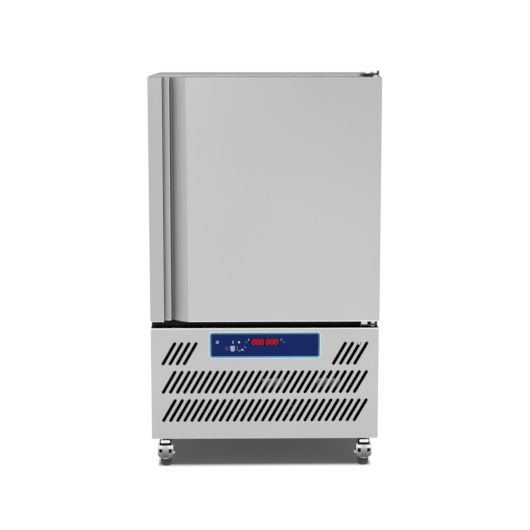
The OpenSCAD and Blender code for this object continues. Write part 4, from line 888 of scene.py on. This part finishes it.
# painted light on the foot plate: painted highlights on its low lip and its top, and between them painted shade
# that is darkest low down
SHIELD_PAINTED_LIGHT = [(41, 1.0), (43.6, 0.9), (45, 0.18), (56, 0.24), (66, 0.38), (77, 0.58), (81, 0.85), (88, 0.95),
                (90.4, 1.2), (113, 1.38)]


def brake_pedal(corner, x0, y0):
    """A bowed foot plate with two holes, the tab above it, the arms and the pin they turn on."""
    # the plate is painted lighter at its sides than in its middle: painted light
    across = [(x0 - 27, 1.3), (x0 - 13, 1.25), (x0 - 8, 0.95), (x0 + 8, 0.95), (x0 + 13, 1.25), (x0 + 27, 1.3)]
    pressed = finish("pedal_painted_light_zinc_" + corner, (0.72, 0.725, 0.73), 0.32, 1.0, 0.05, 160, 14,
                     tones=[(2, SHIELD_PAINTED_LIGHT), (0, across)])
    sheet = bmesh.new()
    rows = []
    for z in SHIELD_Z:
        low = max(0.0, SHIELD_WAIST - z) / (SHIELD_WAIST - SHIELD_Z[-1])
        half = 27.3 * (1 - 0.12 * low ** 2)
        lip = 1.6 * max(0.0, 46.5 - z) / 4
        belly = 1.5 * math.sin(math.pi * (z - 41) / 50)
        bow = 3.2 * (1 - 0.4 * low)
        rows.append([sheet.verts.new((x0 + u * half, y0 - 93.4 - bow * (1 - u * u) - belly - lip,
                                      z + 8 * u * u * low)) for u in SHIELD_X])
    for i in range(len(rows) - 1):
        for k in range(len(SHIELD_X) - 1):
            if i not in OPEN_ROWS or k not in OPEN_COLUMNS:
                sheet.faces.new((rows[i][k], rows[i][k + 1], rows[i + 1][k + 1], rows[i + 1][k]))
    bmesh.ops.recalc_face_normals(sheet, faces=sheet.faces)
    if sheet.faces[0].normal.y > 0:
        bmesh.ops.reverse_faces(sheet, faces=sheet.faces)
    bmesh.ops.solidify(sheet, geom=sheet.faces, thickness=-2.2)
    bmesh.ops.subdivide_edges(sheet, edges=sheet.edges, cuts=1, use_grid_fill=True)
    for _ in range(2):
        bmesh.ops.smooth_vert(sheet, verts=sheet.verts, factor=0.35, use_axis_x=True, use_axis_y=True,
                              use_axis_z=True)
    pedal = Piece()
    pedal.take(sheet)
    pedal.plate(rounded_rect(34, 11, 5.4, 8), [], roll(3, 1.3), 0, at(x0, y0 - 97, 105.4) @ UPRIGHT)
    pedal.box((x0 - 24, y0 - 90.4, 64), (x0 + 24, y0 - 86.6, 82), 1.2, 1)
    for side in (-1, 1):
        pedal.box((x0 + side * 9 - 2, y0 - 95.6, 86), (x0 + side * 9 + 2, y0 - 94, 101), 0.5, 1)
        pedal.box((x0 + side * 25.6 - 1.5, y0 - 93.6, 80), (x0 + side * 25.6 + 1.5, y0 - 72, 92), 1)
    pedal.tube([(x0 - 26.6, y0 - 78, 88), (x0 + 26.6, y0 - 78, 88)], 3, 16, 1)
    pedal.done("brake_foot_" + corner, [pressed, looks["ledge_black"]], "pedal_" + corner, "steel_zinc",
               "brake_pedal_" + corner)


for corner, sx, sy in (("fl", -1, -1), ("fr", 1, -1), ("rl", -1, 1), ("rr", 1, 1)):
    wheel = Piece()
    place = at(sx * WHEEL_X, sy * WHEEL_Y, WHEEL_R) @ ALONG_X
    wheel.ring(TYRE, place, 96, 0)
    wheel.ring(HUB, place, 96, 1)
    wheel.done("wheel_tread_" + corner, [looks["castor_tyre"], hub_grey], "wheel_" + corner, "castor_tyre",
               "caster_wheel_" + corner)
    refined("caster_fork_" + corner, 0.7)
    if sy < 0:
        brake_pedal(corner, sx * WHEEL_X, sy * SWIVEL_Y)

for name, material in (("pipework", pipe_dark_front), ("insulation", looks["foam"])):
    NODES[name].data.materials.clear()
    NODES[name].data.materials.append(material)

# ---- stage -----------------------------------------------------------------------------------------------

FLOOR_HALF = 14.0
floor_corners = [(sx * FLOOR_HALF, sy * FLOOR_HALF, 0) for sx, sy in ((-1, -1), (1, -1), (1, 1), (-1, 1))]
floor_mesh = bpy.data.meshes.new("floor")
floor_mesh.from_pydata(floor_corners, [], [(0, 1, 2, 3)])
floor = bpy.data.objects.new("floor", floor_mesh)
bpy.context.scene.collection.objects.link(floor)


def white_rays(s):
    """1 for the rays that show the background, 0 for those that light the object."""
    path = s.add("LightPath").outputs
    seen = s.math("MAXIMUM", path["Is Camera Ray"], path["Is Glossy Ray"])
    return s.math("MAXIMUM", seen, path["Is Transmission Ray"])


# the ground where the floor's painted shadow lies: axis, half its size in metres, and the steepness of its fade
# beyond
SHADED_GROUND = ((0, 0.378, 3.0), (1, 0.288, 1.0))
FADE = 0.05


def floor_material():
    """White to the camera, apart from the ground under the object, which gets a painted shadow over its real
    shade and fades out past its edges.
    """
    material = bpy.data.materials.new("floor")
    material.use_nodes = True
    s = Shade(material.node_tree)
    where = s.add("SeparateXYZ", {0: s.add("TexCoord").outputs["Object"]}).outputs
    away = []
    for axis, half, steep in SHADED_GROUND:
        past = s.math("MAXIMUM", s.math("SUBTRACT", s.math("ABSOLUTE", where[axis]), half), 0.0)
        away.append(s.math("MULTIPLY", past, steep))
    squares = [s.math("MULTIPLY", a, a) for a in away]
    distance = s.math("SQRT", s.math("ADD", *squares))
    clear = s.add("MapRange", {0: distance, 1: 0.0, 2: FADE, 3: 0.0, 4: 1.0}, interpolation_type="SMOOTHSTEP")
    pale = s.add("BsdfDiffuse", {"Color": (0.9, 0.9, 0.9, 1)})
    # a dim floor with a faint glow: the painted shadow
    dim = s.add("BsdfDiffuse", {"Color": (0.1, 0.1, 0.1, 1)})
    lift = s.add("Emission", {"Color": (1, 1, 1, 1), "Strength": 0.074})
    shadow = s.add("AddShader", {0: dim.outputs[0], 1: lift.outputs[0]})
    white = s.add("Emission", {"Color": (1, 1, 1, 1), "Strength": 1.0})
    seen = s.add("MixShader", {0: clear.outputs[0], 1: shadow.outputs[0], 2: white.outputs[0]})
    mixed = s.add("MixShader", {0: white_rays(s), 1: pale.outputs[0], 2: seen.outputs[0]})
    s.add("OutputMaterial", {0: mixed.outputs[0]})
    return material


floor_mesh.materials.append(floor_material())

world = bpy.data.worlds.new("studio")
bpy.context.scene.world = world
world.use_nodes = True
sky = Shade(world.node_tree)
soft = sky.add("Background", {"Color": (1, 1, 1, 1), "Strength": 0.75})
white_wall = sky.add("Background", {"Color": (1, 1, 1, 1), "Strength": 1.0})
mix = sky.add("MixShader", {0: white_rays(sky), 1: soft.outputs[0], 2: white_wall.outputs[0]})
sky.add("OutputWorld", {0: mix.outputs[0]})


def area_lamp(name, location, target, size, energy):
    lamp = bpy.data.lights.new(name, "AREA")
    lamp.shape = "SQUARE"
    lamp.size = size
    lamp.energy = energy
    holder = bpy.data.objects.new(name, lamp)
    bpy.context.scene.collection.objects.link(holder)
    holder.location = location
    holder.rotation_euler = (Vector(target) - Vector(location)).to_track_quat("-Z", "Y").to_euler()


area_lamp("lamp_left", (-1.5, -4.2, 3.0), (0, 0, 0.8), 2.2, 55)
area_lamp("lamp_right", (2.8, -3.2, 2.4), (0, 0, 0.8), 2.0, 35)
area_lamp("lamp_top", (0.2, 0.4, 4.2), (0, 0, 0.9), 2.6, 60)
bpy.context.scene.view_settings.view_transform = "Standard"
